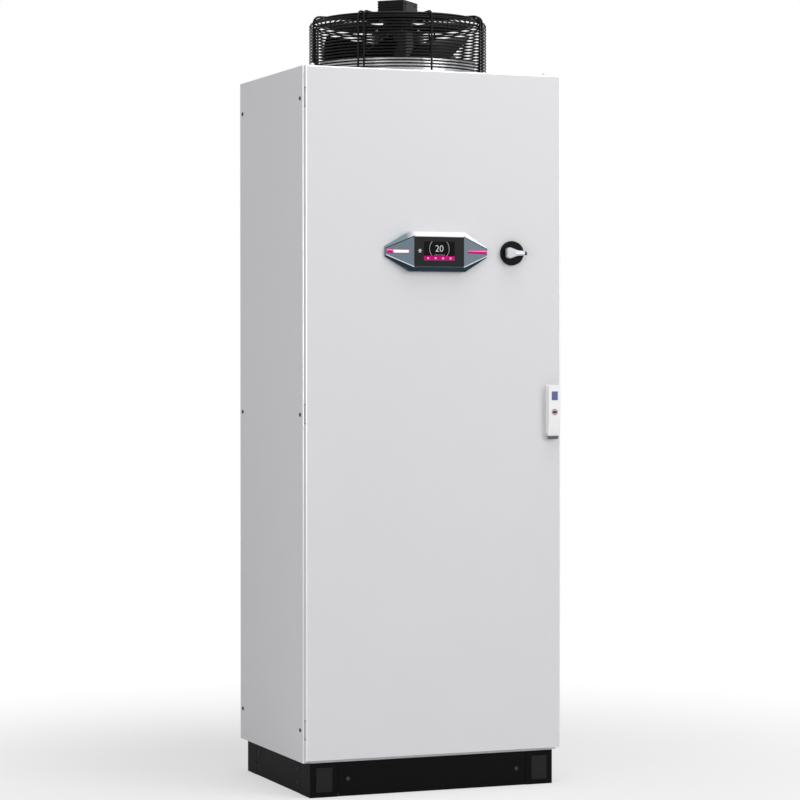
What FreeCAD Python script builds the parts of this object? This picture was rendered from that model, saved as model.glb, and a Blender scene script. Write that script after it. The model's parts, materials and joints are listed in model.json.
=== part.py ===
import FreeCAD, Part
import math
import os

from FreeCAD import Vector

# Industrial water chiller in a floor-standing sheet-steel cabinet with a roof fan.
# Sizes are in millimetres. X runs to the right, Y to the rear and Z up.
# The origin is on the floor, under the middle of the cabinet. The door faces -Y and hangs on the left.

# Cabinet sizes
CABINET_WIDTH = 800.0
CABINET_DEPTH = 600.0
CABINET_HEIGHT = 2000.0
POST_SIZE = 40.0
POST_WALL = 2.0
PANEL_SHEET = 2.0
PANEL_EDGE_RADIUS = 4.0
SIDE_PANEL_THICKNESS = 18.0
REAR_PANEL_THICKNESS = 19.0
ROOF_THICKNESS = 10.0
BASE_SHEET = 3.0
SEAM = 0.6

# Plinth sizes
PLINTH_HEIGHT = 100.0
PLINTH_CORNER = 86.0
PLINTH_WALL = 6.0
PLINTH_SHEET = 2.0
PLINTH_FLANGE = 16.0
ANCHOR_RADIUS = 7.0
CORNER_PLATE_WIDTH = 49.0
CORNER_PLATE_HEIGHT = 70.0
CORNER_PLATE_THICKNESS = 1.5

# Door sizes
DOOR_THICKNESS = 17.0
DOOR_SHEET = 2.0
DOOR_EDGE_RADIUS = 4.0
DOOR_TO_PANEL = 10.0
DOOR_TO_FRAME = 2.0
DOOR_BOTTOM_GAP = 8.0
DOOR_TOP_GAP = 2.0
STIFFENER_WIDTH = 30.0
STIFFENER_FROM_EDGE = 100.0
STIFFENER_END = 60.0
GASKET_WIDTH = 10.0
GASKET_PRESS_GAP = 0.2

# Hinge sizes
HINGE_COUNT = 3
HINGE_END = 90.0
HINGE_FROM_EDGE = 6.0
HINGE_FROM_FRONT = 11.0
HINGE_PIN_RADIUS = 3.0
HINGE_EAR_RADIUS = 4.5
HINGE_HEIGHT = 50.0
HINGE_EAR_THICKNESS = 10.0
HINGE_PLATE_WIDTH = 18.0
HINGE_PLATE_THICKNESS = 3.0
KNUCKLE_GAP = 0.8
KNUCKLE_REACH = 10.0
RUNNING_FIT = 0.05

# Operating panel sizes
PANEL_FROM_TOP = 527.0
PANEL_HALF_WIDTH = 160.0
PANEL_HALF_HEIGHT = 57.5
PANEL_TIP_HALF = 15.0
PANEL_FLAT_HALF = 86.0
PANEL_PROTRUSION = 27.0
PANEL_RIM = 13.5
PANEL_TIP_RIM = 3.0
PANEL_TIP_DROP = 16.0
GLASS_WIDTH = 156.0
GLASS_HEIGHT = 86.0
GLASS_THICKNESS = 3.0
GLASS_PROUD = 0.6
LIGHT_BAR_HALF = 6.0
LIGHT_BAR_DEPTH = 4.0
LIGHT_FROM_GLASS = 12.0
PANEL_BOX_WIDTH = 140.0
PANEL_BOX_HEIGHT = 72.0
PANEL_BOX_DEPTH = 30.0

# Main switch sizes
SWITCH_FROM_EDGE = 160.0
ROSETTE_RADIUS = 36.0
ROSETTE_THICKNESS = 8.0
KNOB_RADIUS = 32.0
KNOB_THICKNESS = 6.0
KNOB_NOSE = 45.0
KNOB_NOSE_HALF = 10.0
KNOB_TUBE_RADIUS = 11.0
KNOB_TUBE_DEPTH = 14.0
GRIP_HEIGHT = 18.0
GRIP_WIDE_HALF = 17.0
GRIP_NARROW_HALF = 6.5
GRIP_LEFT = 26.0
GRIP_RIGHT = 31.0
SHAFT_RADIUS = 4.0
SHAFT_SOCKET_GAP = 1.5
SWITCH_BODY_WIDTH = 70.0
SWITCH_BODY_DEPTH = 75.0
MOVING_GAP = 0.3

# Handle and lock sizes
HANDLE_FROM_EDGE = 30.0
HANDLE_WIDTH = 38.0
HANDLE_FROM_BOTTOM = 925.0
HANDLE_HEIGHT = 151.0
HANDLE_BASE_THICKNESS = 4.0
LEVER_THICKNESS = 20.0
LEVER_BASE_GAP = 0.4
LEVER_LIFT_ANGLE = 40.0
LEVER_FRONT_SKIN = 2.4
LEVER_GRIP_LENGTH = 45.0
LEVER_GRIP_SLOPE = 6.0
LEVER_UNDERCUT = 13.0
SPINDLE_FROM_TOP = 20.0
PIVOT_DEPTH = 10.0
HUB_RADIUS = 13.0
SPINDLE_SIZE = 8.0
TONGUE_HALF_WIDTH = 6.0
TONGUE_RADIUS = 7.0
LEVER_PIN_RADIUS = 2.5
LEVER_PIN_LENGTH = 30.0
INSERT_RADIUS = 9.7
INSERT_DEPTH = 11.0
INSERT_FROM_BOTTOM = 71.0
INSERT_PROUD = 0.8
KEY_SLOT_WIDTH = 2.4
KEY_SLOT_LENGTH = 9.0
PINION_TEETH = 12
PINION_MODULE = 1.4
PRESSURE_ANGLE = 20.0
TOOTH_BACKLASH = 0.15
RACK_ADDENDUM = 0.9
PINION_ADDENDUM = 1.2
TOOTH_ROOT_GAP = 0.3
RACK_TOOTH_COUNT = 10
ROD_WIDTH = 5.0
ROD_THICKNESS = 4.0
ROD_FROM_SKIN = 4.0
ROD_ENGAGED = 8.0
ROD_GAP = 0.3
KEEPER_HEIGHT = 14.0
KEEPER_WALL = 2.5
KEEPER_END = 46.0
LOCK_CASE_HEIGHT = 64.0
LOCK_CASE_WALL = 1.6
GUIDE_HEIGHT = 16.0
GUIDE_WALL = 2.0

# Fan sizes
NOZZLE_RADIUS = 228.0
NOZZLE_WALL = 2.0
NOZZLE_RISE = 45.0
NOZZLE_DROP = 70.0
NOZZLE_FLANGE_RADIUS = 272.5
NOZZLE_FLARE = 9.0
NOZZLE_LIP = 8.0
FAN_SIDES = 36
GUARD_RADIUS = 272.0
GUARD_HEIGHT = 180.0
GUARD_SHOULDER = 18.0
GUARD_WIRE = 4.0
GUARD_RIB = 6.0
GUARD_RING_PITCH = 14.0
GUARD_RING_SIDES = 16
GUARD_TOP_PITCH = 56.0
GUARD_TOP_RINGS = 3
GUARD_RIBS = 8
GUARD_DOUBLE_SPACING = 18.0
GUARD_RIB_INNER = 62.0
MOTOR_PLATE_RADIUS = 84.0
MOTOR_PLATE_THICKNESS = 5.0
MOTOR_NECK_RADIUS = 44.0
MOTOR_SHAFT_RADIUS = 10.0
MOTOR_BOX_WIDTH = 84.0
MOTOR_BOX_LENGTH = 112.0
MOTOR_BOX_HEIGHT = 48.0
MOTOR_BOX_TURN = -45.0
MOTOR_FIN_COUNT = 5
MOTOR_FIN_DEPTH = 3.0
ROTOR_RADIUS = 78.0
ROTOR_TOP_GAP = 6.0
ROTOR_HEIGHT = 140.0
ROTOR_EDGE = 10.0
BLADE_COUNT = 5
BLADE_TIP_GAP = 4.0
BLADE_RISE = 20.0
BLADE_ROOT_CHORD = 96.0
BLADE_TIP_CHORD = 178.0
BLADE_ROOT_PITCH = 46.0
BLADE_TIP_PITCH = 30.0
BLADE_THICKNESS = 5.0
BLADE_SWEEP = 14.0
BLADE_CAMBER = 9.0
BLADE_STATIONS = 3

# Condenser and partition sizes
BULKHEAD_RISE = 990.0
PARTITION_SHEET = 2.0
COIL_DEPTH = 65.0
COIL_LEFT_GAP = 17.0
COIL_RIGHT_GAP = 57.0
COIL_REAR_GAP = 13.0
COIL_TOP_GAP = 20.0
COIL_PLATE = 2.0
COIL_FIN_PITCH = 76.0
COIL_FIN_DEPTH = 3.0
HEADER_RADIUS = 13.0
HEADER_FROM_POST = 27.0
HEADER_STUBS = 4
STUB_RADIUS = 6.0

# Rear panel sizes
GRILLE_BORDER = 36.0
SLAT_PITCH = 42.0
SLAT_RISE = 34.0
PORT_RADIUS = 24.0
PORT_LENGTH = 30.0
PORT_NUT_RADIUS = 36.0
PORT_NUT_LENGTH = 14.0
GLAND_COUNT = 2
GLAND_RADIUS = 16.0
GLAND_NECK = 12.0
GLAND_BORE = 9.0
GLAND_LENGTH = 26.0
GLAND_PITCH = 60.0
GLAND_FROM_EDGE = 180.0
GLAND_RISE = 200.0

# Electrical compartment sizes
TRAY_HEIGHT = 640.0
TRAY_DEPTH = 190.0
INVERTER_WIDTH = 170.0
INVERTER_HEIGHT = 330.0
INVERTER_DEPTH = 125.0
INVERTER_GROOVES = 8
DUCT_WIDTH = 40.0
DUCT_DEPTH = 55.0
DUCT_WALL = 2.0
DEVICE_DEPTH = 70.0
RAIL_DEPTH = 8.0
RAIL_HEIGHT = 35.0
BREAKER_WIDTH = 35.0
BREAKER_HEIGHT = 88.0
CONTACTOR_WIDTH = 45.0
CONTACTOR_HEIGHT = 75.0
TERMINAL_WIDTH = 70.0
TERMINAL_HEIGHT = 46.0

# Cooling and water circuit sizes
COMPRESSOR_FROM_POST = 152.0
COMPRESSOR_FROM_FRONT = 151.0
COMPRESSOR_RADIUS = 88.0
COMPRESSOR_HEIGHT = 400.0
COMPRESSOR_FOOT = 200.0
COMPRESSOR_PLATE = 6.0
COMPRESSOR_BOX = 90.0
SHELL_SIDES = 24
RUBBER_RADIUS = 17.0
RUBBER_HEIGHT = 28.0
TANK_WIDTH = 270.0
TANK_DEPTH = 260.0
TANK_HEIGHT = 700.0
TANK_FROM_POST = 12.0
TANK_FROM_REAR = 11.0
TANK_FEET = 20.0
TANK_CORNER = 14.0
FILLER_RADIUS = 30.0
FILLER_HEIGHT = 26.0
CAP_WALL = 4.0
CAP_HEIGHT = 22.0
PUMP_FROM_POST = 127.0
PUMP_FROM_FRONT = 101.0
PUMP_RADIUS = 62.0
PUMP_FOOT = 160.0
PUMP_FOOT_HEIGHT = 20.0
PUMP_HEIGHT = 250.0
PUMP_NECK = 22.0
MOTOR_RADIUS = 68.0
MOTOR_HEIGHT = 220.0
MOTOR_BOX_SIZE = 80.0
EVAPORATOR_FROM_TANK = 40.0
EVAPORATOR_WIDTH = 90.0
EVAPORATOR_FROM_REAR = 61.0
EVAPORATOR_DEPTH = 120.0
EVAPORATOR_HEIGHT = 500.0
EVAPORATOR_STAND = 60.0
EVAPORATOR_CORNER = 12.0
PORT_INSET = 38.0
SUCTION_RADIUS = 14.0
DISCHARGE_RADIUS = 11.0
LIQUID_RADIUS = 8.0
WATER_RADIUS = 16.0
DRIER_RADIUS = 26.0
DRIER_LENGTH = 190.0
DRIER_RISE = 577.0
BEND_FACTOR = 2.0
PIPE_SIDES = 8
SUCTION_INLET_RISE = 337.0
DISCHARGE_LEVEL_RISE = 717.0
WATER_OUTLET_RISE = 207.0
TANK_OUTLET_RISE = 97.0
PIPE_HOLE_GAP = 3.0

# Fastener sizes
SCREW_HEAD_RADIUS = 6.0
SCREW_HEAD_HEIGHT = 2.5
SCREW_SIDES = 8
SCREW_FROM_CORNER = 93.0
SCREW_INSET = 9.0
ROOF_BOLT_RADIUS = 8.0
ROOF_BOLT_HEIGHT = 9.0
ROOF_BOLT_INSET_X = 16.0
ROOF_BOLT_INSET_Y = 14.0

# Main planes and levels
SIDE_X = CABINET_WIDTH / 2
FRONT_Y = -CABINET_DEPTH / 2
REAR_Y = CABINET_DEPTH / 2
CABINET_Z = PLINTH_HEIGHT
TOP_Z = CABINET_Z + CABINET_HEIGHT
DOOR_BACK_Y = FRONT_Y + DOOR_THICKNESS
DOOR_INSIDE_Y = FRONT_Y + DOOR_SHEET
DOOR_BOTTOM_Z = CABINET_Z + DOOR_BOTTOM_GAP
DOOR_TOP_Z = TOP_Z - DOOR_TOP_GAP
PANEL_FRONT_Y = DOOR_BACK_Y + DOOR_TO_PANEL
FRAME_X = SIDE_X - SIDE_PANEL_THICKNESS
FRAME_FRONT_Y = DOOR_BACK_Y + DOOR_TO_FRAME
FRAME_REAR_Y = REAR_Y - REAR_PANEL_THICKNESS
FRAME_TOP_Z = TOP_Z - ROOF_THICKNESS
INNER_X = FRAME_X - POST_SIZE
INNER_FRONT_Y = FRAME_FRONT_Y + POST_SIZE
INNER_REAR_Y = FRAME_REAR_Y - POST_SIZE
RAIL_TOP_Z = CABINET_Z + POST_SIZE
BASE_TOP_Z = RAIL_TOP_Z + BASE_SHEET
TOP_RAIL_Z = FRAME_TOP_Z - POST_SIZE
FAN_Y = (INNER_FRONT_Y + INNER_REAR_Y) / 2

# Places of the main pieces
STIFFENER_X = SIDE_X - STIFFENER_FROM_EDGE
PANEL_Z = DOOR_TOP_Z - PANEL_FROM_TOP
SWITCH_X = SIDE_X - SWITCH_FROM_EDGE
SWITCH_Z = PANEL_Z
HANDLE_X = SIDE_X - HANDLE_FROM_EDGE
HANDLE_BOTTOM_Z = DOOR_BOTTOM_Z + HANDLE_FROM_BOTTOM
INSERT_Z = HANDLE_BOTTOM_Z + INSERT_FROM_BOTTOM
BULKHEAD_Z = CABINET_Z + BULKHEAD_RISE
COIL_LEFT = INNER_X - COIL_LEFT_GAP
COIL_RIGHT = INNER_X - COIL_RIGHT_GAP
HEADER_X = INNER_X - HEADER_FROM_POST
GLAND_X = SIDE_X - GLAND_FROM_EDGE
GLAND_Z = CABINET_Z + GLAND_RISE
COMPRESSOR_X = INNER_X - COMPRESSOR_FROM_POST
COMPRESSOR_Y = INNER_FRONT_Y + COMPRESSOR_FROM_FRONT
TANK_LEFT_X = -INNER_X + TANK_FROM_POST
TANK_RIGHT_X = TANK_LEFT_X + TANK_WIDTH
TANK_FRONT_Y = FRAME_REAR_Y - TANK_FROM_REAR - TANK_DEPTH
PUMP_X = -INNER_X + PUMP_FROM_POST
PUMP_Y = INNER_FRONT_Y + PUMP_FROM_FRONT
EVAPORATOR_LEFT_X = TANK_RIGHT_X + EVAPORATOR_FROM_TANK
EVAPORATOR_FRONT_Y = FRAME_REAR_Y - EVAPORATOR_FROM_REAR - EVAPORATOR_DEPTH
DRIER_TOP_Z = BASE_TOP_Z + DRIER_RISE
SUCTION_INLET_Z = BASE_TOP_Z + SUCTION_INLET_RISE
DISCHARGE_LEVEL_Z = BASE_TOP_Z + DISCHARGE_LEVEL_RISE
WATER_OUTLET_Z = BASE_TOP_Z + WATER_OUTLET_RISE
TANK_OUTLET_Z = BASE_TOP_Z + TANK_OUTLET_RISE

UP = Vector(0, 0, 1)
TO_REAR = Vector(0, 1, 0)
TO_RIGHT = Vector(1, 0, 0)


def box(x_range, y_range, z_range):
    """Return a block between pairs of coordinates given in any order."""
    low = [min(pair) for pair in (x_range, y_range, z_range)]
    high = [max(pair) for pair in (x_range, y_range, z_range)]
    return Part.makeBox(high[0] - low[0], high[1] - low[1], high[2] - low[2], Vector(*low))


def around(middle, width):
    """Return the coordinate pair of a width centred on a point."""
    return (middle - width / 2, middle + width / 2)


def cylinder(radius, start, direction, length):
    return Part.makeCylinder(radius, length, start, direction)


def post(radius, x, y, z_range, sides):
    """Return an upright many-sided bar."""
    return prism(regular_polygon(radius, sides, (x, y)), "z", *z_range)


def on_plane(pair, level, axis):
    """Place a pair of coordinates on the plane at a level along one axis."""
    first, second = pair
    if axis == "x":
        return Vector(level, first, second)
    if axis == "y":
        return Vector(first, level, second)
    return Vector(first, second, level)


def prism(points, axis, start, end):
    """Extrude a polygon along an axis between two levels."""
    corners = [on_plane(pair, start, axis) for pair in points]
    face = Part.Face(Part.makePolygon(corners + [corners[0]]))
    return face.extrude(on_plane((0, 0), end - start, axis))


def regular_polygon(radius, sides, middle=(0.0, 0.0)):
    """Return the corners of a regular polygon whose first corner is on the first axis."""
    step = 2 * math.pi / sides
    return [
        (middle[0] + radius * math.cos(i * step), middle[1] + radius * math.sin(i * step))
        for i in range(int(sides))
    ]


def solid_from(outlines):
    """Sew flat outlines into one closed solid."""
    faces = [Part.Face(Part.makePolygon(outline + [outline[0]])) for outline in outlines]
    shell = Part.makeShell(faces)
    shell.sewShape()
    solid = Part.makeSolid(shell)
    if solid.Volume < 0:
        solid.reverse()
    return solid.removeSplitter()


def turned(profile, x, y, sides):
    """Turn a closed profile of radius and height pairs about a vertical axis into flat sectors."""
    step = 2 * math.pi / sides
    rings = []
    for radius, height in profile:
        ring = [
            Vector(x + radius * math.cos(i * step), y + radius * math.sin(i * step), height)
            for i in range(sides)
        ]
        rings.append(ring if radius > 0 else [Vector(x, y, height)] * sides)
    outlines = []
    for index in range(len(profile)):
        first, last = rings[index - 1], rings[index]
        if profile[index - 1][0] == 0 and profile[index][0] == 0:
            continue
        for i in range(sides):
            following = (i + 1) % sides
            corners = [first[i], first[following], last[following], last[i]]
            outlines.append([point for n, point in enumerate(corners) if point != corners[n - 1]])
    return solid_from(outlines)


def edges_along(shape, direction):
    """Return the straight edges that run along a direction."""
    found = []
    for edge in shape.Edges:
        first, last = edge.Vertexes[0].Point, edge.Vertexes[-1].Point
        span = last - first
        if span.Length > 0 and span.cross(direction).Length < 1e-6 * span.Length:
            found.append(edge)
    return found


def rounded(shape, radius, direction):
    """Round all the straight edges that run along a direction."""
    return shape.makeFillet(radius, edges_along(shape, direction))


def hollow_bar(x_range, y_range, z_range, axis):
    """Return a square tube that is open at both ends along an axis."""
    ranges = {"x": x_range, "y": y_range, "z": z_range}
    inner = {
        name: pair if name == axis else (min(pair) + POST_WALL, max(pair) - POST_WALL)
        for name, pair in ranges.items()
    }
    return box(x_range, y_range, z_range).cut(box(inner["x"], inner["y"], inner["z"]))


def pipe(points, radius):
    """Sweep a many-sided bar along straight runs whose corners are cut off by short slanted runs."""
    bend = radius * BEND_FACTOR
    corners = [Vector(*point) for point in points]
    path = [corners[0]]
    for before, corner, after in zip(corners, corners[1:], corners[2:]):
        path.append(corner + (before - corner).normalize() * bend)
        path.append(corner + (after - corner).normalize() * bend)
    path.append(corners[-1])
    run = (corners[1] - corners[0]).normalize()
    across = run.cross(TO_REAR if abs(run.z) > abs(run.y) else UP).normalize()
    beside = run.cross(across)
    section = [
        corners[0] + across * (radius * first) + beside * (radius * second)
        for first, second in regular_polygon(1.0, PIPE_SIDES)
    ]
    sweep = Part.BRepOffsetAPI.MakePipeShell(Part.makePolygon(path))
    sweep.setTransitionMode(1)
    sweep.add(Part.makePolygon(section + [section[0]]))
    sweep.build()
    sweep.makeSolid()
    return sweep.shape()


def joined(shapes):
    """Fuse touching shapes into one solid."""
    return shapes[0].multiFuse(shapes[1:]).removeSplitter()


# Plinth
def plinth_corner(side, end):
    """Return one corner: two outer walls between a top and a bottom plate."""
    x_outer = side * FRAME_X
    y_outer = FRAME_FRONT_Y if end < 0 else FRAME_REAR_Y
    x_inner = x_outer - side * PLINTH_CORNER
    y_inner = y_outer - end * PLINTH_CORNER
    block = box((x_inner, x_outer), (y_inner, y_outer), (0, PLINTH_HEIGHT))
    hollow = box(
        (x_inner - side * PLINTH_WALL, x_outer - side * PLINTH_WALL),
        (y_inner - end * PLINTH_WALL, y_outer - end * PLINTH_WALL),
        (PLINTH_WALL, PLINTH_HEIGHT - PLINTH_WALL),
    )
    middle = Vector((x_inner + x_outer) / 2, (y_inner + y_outer) / 2, 0)
    return block.cut([hollow, cylinder(ANCHOR_RADIUS, middle, UP, PLINTH_WALL)])


def channel_profile(outer, inward):
    """Return the C-shaped section of a plinth trim that opens inwards."""
    flange = outer + inward * PLINTH_FLANGE
    web = outer + inward * PLINTH_SHEET
    low, high = SEAM, PLINTH_HEIGHT
    return [
        (outer, low),
        (flange, low),
        (flange, low + PLINTH_SHEET),
        (web, low + PLINTH_SHEET),
        (web, high - PLINTH_SHEET),
        (flange, high - PLINTH_SHEET),
        (flange, high),
        (outer, high),
    ]


TRIM_X = FRAME_X - PLINTH_CORNER - SEAM
TRIM_FRONT_Y = FRAME_FRONT_Y + PLINTH_CORNER + SEAM
TRIM_REAR_Y = FRAME_REAR_Y - PLINTH_CORNER - SEAM


def side_trim(side):
    """Return a trim that runs from front to rear on one side of the plinth."""
    return prism(channel_profile(side * FRAME_X, -side), "y", TRIM_FRONT_Y, TRIM_REAR_Y)


def end_trim(end):
    """Return a trim that runs from left to right at the front or the rear of the plinth."""
    y_outer = FRAME_FRONT_Y if end < 0 else FRAME_REAR_Y
    return prism(channel_profile(y_outer, -end), "x", -TRIM_X, TRIM_X)


def corner_plate(side, end):
    """Return the bare square plate on the outside of a corner."""
    y_face = FRAME_FRONT_Y if end < 0 else FRAME_REAR_Y
    x_middle = side * (FRAME_X - PLINTH_CORNER / 2)
    return box(
        around(x_middle, CORNER_PLATE_WIDTH),
        (y_face, y_face + end * CORNER_PLATE_THICKNESS),
        around(PLINTH_HEIGHT / 2, CORNER_PLATE_HEIGHT),
    )


CORNERS = [(side, end) for side in (-1, 1) for end in (-1, 1)]


def end_range(end):
    """Return the Y range of the posts at the front or the rear."""
    if end < 0:
        return (FRAME_FRONT_Y, INNER_FRONT_Y)
    return (INNER_REAR_Y, FRAME_REAR_Y)


# Frame
def frame_post(side, end):
    x_range = (side * INNER_X, side * FRAME_X)
    return hollow_bar(x_range, end_range(end), (CABINET_Z, FRAME_TOP_Z), "z")


def frame_rails():
    rails = []
    for z_range in ((CABINET_Z, RAIL_TOP_Z), (TOP_RAIL_Z, FRAME_TOP_Z)):
        for end in (-1, 1):
            rails.append(hollow_bar((-INNER_X, INNER_X), end_range(end), z_range, "x"))
        for side in (-1, 1):
            x_range = (side * INNER_X, side * FRAME_X)
            rails.append(hollow_bar(x_range, (INNER_FRONT_Y, INNER_REAR_Y), z_range, "y"))
    return Part.makeCompound(rails)


def base_plate():
    plate = box((-FRAME_X, FRAME_X), (FRAME_FRONT_Y, FRAME_REAR_Y), (RAIL_TOP_Z, BASE_TOP_Z))
    room = POST_SIZE + SEAM
    notches = []
    for side, end in CORNERS:
        y_outer = FRAME_FRONT_Y if end < 0 else FRAME_REAR_Y
        notches.append(
            box(
                (side * FRAME_X, side * (FRAME_X - room)),
                (y_outer, y_outer - end * room),
                (RAIL_TOP_Z, BASE_TOP_Z),
            )
        )
    return plate.cut(notches)


ROOF_HOLE_RADIUS = NOZZLE_RADIUS + NOZZLE_WALL + NOZZLE_FLARE + 4 * SEAM


def roof_plate():
    """Return the roof tray with the round opening for the fan."""
    edge_x = FRAME_X - SEAM
    tray = box((-edge_x, edge_x), (PANEL_FRONT_Y, REAR_Y), (FRAME_TOP_Z, TOP_Z))
    inside = box(
        (-edge_x + PANEL_SHEET, edge_x - PANEL_SHEET),
        (PANEL_FRONT_Y + PANEL_SHEET, REAR_Y - PANEL_SHEET),
        (FRAME_TOP_Z, TOP_Z - PANEL_SHEET),
    )
    opening = post(ROOF_HOLE_RADIUS, 0, FAN_Y, (FRAME_TOP_Z, TOP_Z), FAN_SIDES)
    return tray.cut([inside, opening])


def roof_bolt(side, end):
    """Return a domed corner bolt with its washer."""
    y_edge = PANEL_FRONT_Y if end < 0 else REAR_Y
    washer = ROOF_BOLT_HEIGHT / 4
    profile = [
        (0, TOP_Z),
        (ROOF_BOLT_RADIUS, TOP_Z),
        (ROOF_BOLT_RADIUS, TOP_Z + washer),
        (ROOF_BOLT_RADIUS * 0.8, TOP_Z + washer * 2),
        (ROOF_BOLT_RADIUS * 0.5, TOP_Z + ROOF_BOLT_HEIGHT),
        (0, TOP_Z + ROOF_BOLT_HEIGHT),
    ]
    x = side * (FRAME_X - ROOF_BOLT_INSET_X)
    return turned(profile, x, y_edge - end * ROOF_BOLT_INSET_Y, SCREW_SIDES)


# Skin
def side_panel(side):
    """Return a folded tray whose flanges rest on the frame."""
    outer = side * SIDE_X
    tray = box((outer, side * FRAME_X), (PANEL_FRONT_Y, REAR_Y), (CABINET_Z, TOP_Z))
    upright = [edge for edge in edges_along(tray, UP) if abs(edge.Vertexes[0].X - outer) < SEAM]
    tray = tray.makeFillet(PANEL_EDGE_RADIUS, upright)
    inside = box(
        (outer - side * PANEL_SHEET, side * FRAME_X),
        (PANEL_FRONT_Y + PANEL_SHEET, REAR_Y - PANEL_SHEET),
        (CABINET_Z + PANEL_SHEET, TOP_Z - PANEL_SHEET),
    )
    return tray.cut(inside)


def panel_screws():
    """Return the screw heads along the upright edges of both side panels."""
    heads = []
    middle_z = (CABINET_Z + TOP_Z) / 2
    levels = (CABINET_Z + SCREW_FROM_CORNER, middle_z, TOP_Z - SCREW_FROM_CORNER)
    for side in (-1, 1):
        for y in (INNER_FRONT_Y - SCREW_INSET, FRAME_REAR_Y - SCREW_INSET):
            for z in levels:
                corners = regular_polygon(SCREW_HEAD_RADIUS, SCREW_SIDES, (y, z))
                face = side * SIDE_X
                heads.append(prism(corners, "x", face, face + side * SCREW_HEAD_HEIGHT))
    return Part.makeCompound(heads)


REAR_PANEL_X = FRAME_X - SEAM
REAR_JOINT_Z = BULKHEAD_Z + POST_SIZE / 2
WATER_INLET_X = EVAPORATOR_LEFT_X + EVAPORATOR_WIDTH + PORT_NUT_RADIUS * 2.5
WATER_INLET_Z = BASE_TOP_Z + EVAPORATOR_STAND + EVAPORATOR_HEIGHT - PORT_INSET
WATER_OUTLET_X = (TANK_RIGHT_X + EVAPORATOR_LEFT_X) / 2
WATER_PORTS = [(WATER_INLET_X, WATER_INLET_Z), (WATER_OUTLET_X, WATER_OUTLET_Z)]
GLANDS = [(GLAND_X + (i - (GLAND_COUNT - 1) / 2) * GLAND_PITCH, GLAND_Z) for i in range(GLAND_COUNT)]


def rear_tray(z_low, z_high):
    """Return a folded rear panel whose flanges rest on the frame."""
    tray = box((-REAR_PANEL_X, REAR_PANEL_X), (FRAME_REAR_Y, REAR_Y), (z_low, z_high))
    inside = box(
        (-REAR_PANEL_X + PANEL_SHEET, REAR_PANEL_X - PANEL_SHEET),
        (FRAME_REAR_Y, REAR_Y - PANEL_SHEET),
        (z_low + PANEL_SHEET, z_high - PANEL_SHEET),
    )
    return tray.cut(inside)


def rear_panel():
    port_room = (PORT_RADIUS + SEAM / 3) / math.cos(math.pi / SHELL_SIDES)
    outlines = [regular_polygon(port_room, SHELL_SIDES, port) for port in WATER_PORTS]
    outlines += [regular_polygon(GLAND_NECK, SHELL_SIDES / 2, gland) for gland in GLANDS]
    holes = [prism(outline, "y", FRAME_REAR_Y, REAR_Y) for outline in outlines]
    return rear_tray(CABINET_Z + SEAM, REAR_JOINT_Z).cut(holes)


def rear_grille():
    """Return the upper rear panel with slanted slats in front of the condenser."""
    z_low = REAR_JOINT_Z + SEAM
    z_high = FRAME_TOP_Z - SEAM
    open_x = REAR_PANEL_X - GRILLE_BORDER
    open_low = z_low + GRILLE_BORDER
    open_high = z_high - GRILLE_BORDER
    opening = box((-open_x, open_x), (FRAME_REAR_Y, REAR_Y), (open_low, open_high))
    pieces = [rear_tray(z_low, z_high).cut(opening)]
    count = int((open_high - open_low - SLAT_RISE) / SLAT_PITCH)
    pitch = (open_high - open_low - SLAT_RISE) / count
    for i in range(count + 1):
        low = open_low + i * pitch
        slat = [
            (REAR_Y - PANEL_SHEET, low),
            (REAR_Y, low),
            (FRAME_REAR_Y + PANEL_SHEET, low + SLAT_RISE),
            (FRAME_REAR_Y, low + SLAT_RISE),
        ]
        pieces.append(prism(slat, "x", -open_x, open_x))
    return Part.makeCompound(pieces)


def water_port(x, z):
    """Return a threaded pipe end with its lock nut on the rear panel."""
    outer_end = REAR_Y + PORT_NUT_LENGTH + PORT_LENGTH
    nut_end = REAR_Y + PORT_NUT_LENGTH
    nipple = cylinder(PORT_RADIUS, Vector(x, nut_end, z), TO_REAR, PORT_LENGTH)
    neck = prism(regular_polygon(PORT_RADIUS, SHELL_SIDES, (x, z)), "y", FRAME_REAR_Y, REAR_Y)
    nut = prism(regular_polygon(PORT_NUT_RADIUS, 6, (x, z)), "y", REAR_Y, nut_end)
    bore = prism(regular_polygon(WATER_RADIUS, SHELL_SIDES, (x, z)), "y", FRAME_REAR_Y, outer_end)
    return joined([neck, nut, nipple]).cut(bore)


def cable_gland(x, z):
    """Return a cable gland with an open bore."""
    sides = SHELL_SIDES / 2
    end = REAR_Y + GLAND_LENGTH
    neck = prism(regular_polygon(GLAND_NECK, sides, (x, z)), "y", FRAME_REAR_Y, REAR_Y)
    hexagon = prism(regular_polygon(GLAND_RADIUS, 6, (x, z)), "y", REAR_Y, end)
    bore = cylinder(GLAND_BORE, Vector(x, FRAME_REAR_Y, z), TO_REAR, end - FRAME_REAR_Y)
    return neck.fuse(hexagon).cut(bore)


# Hinges
HINGE_X = -SIDE_X + HINGE_FROM_EDGE
HINGE_Y = FRONT_Y + HINGE_FROM_FRONT
HINGE_FIRST_Z = DOOR_BOTTOM_Z + HINGE_END
HINGE_STEP = (DOOR_TOP_Z - DOOR_BOTTOM_Z - 2 * HINGE_END) / (HINGE_COUNT - 1)
HINGE_LEVELS = [HINGE_FIRST_Z + i * HINGE_STEP for i in range(HINGE_COUNT)]
KNUCKLE_HEIGHT = HINGE_HEIGHT - 2 * HINGE_EAR_THICKNESS - 2 * KNUCKLE_GAP


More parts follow.
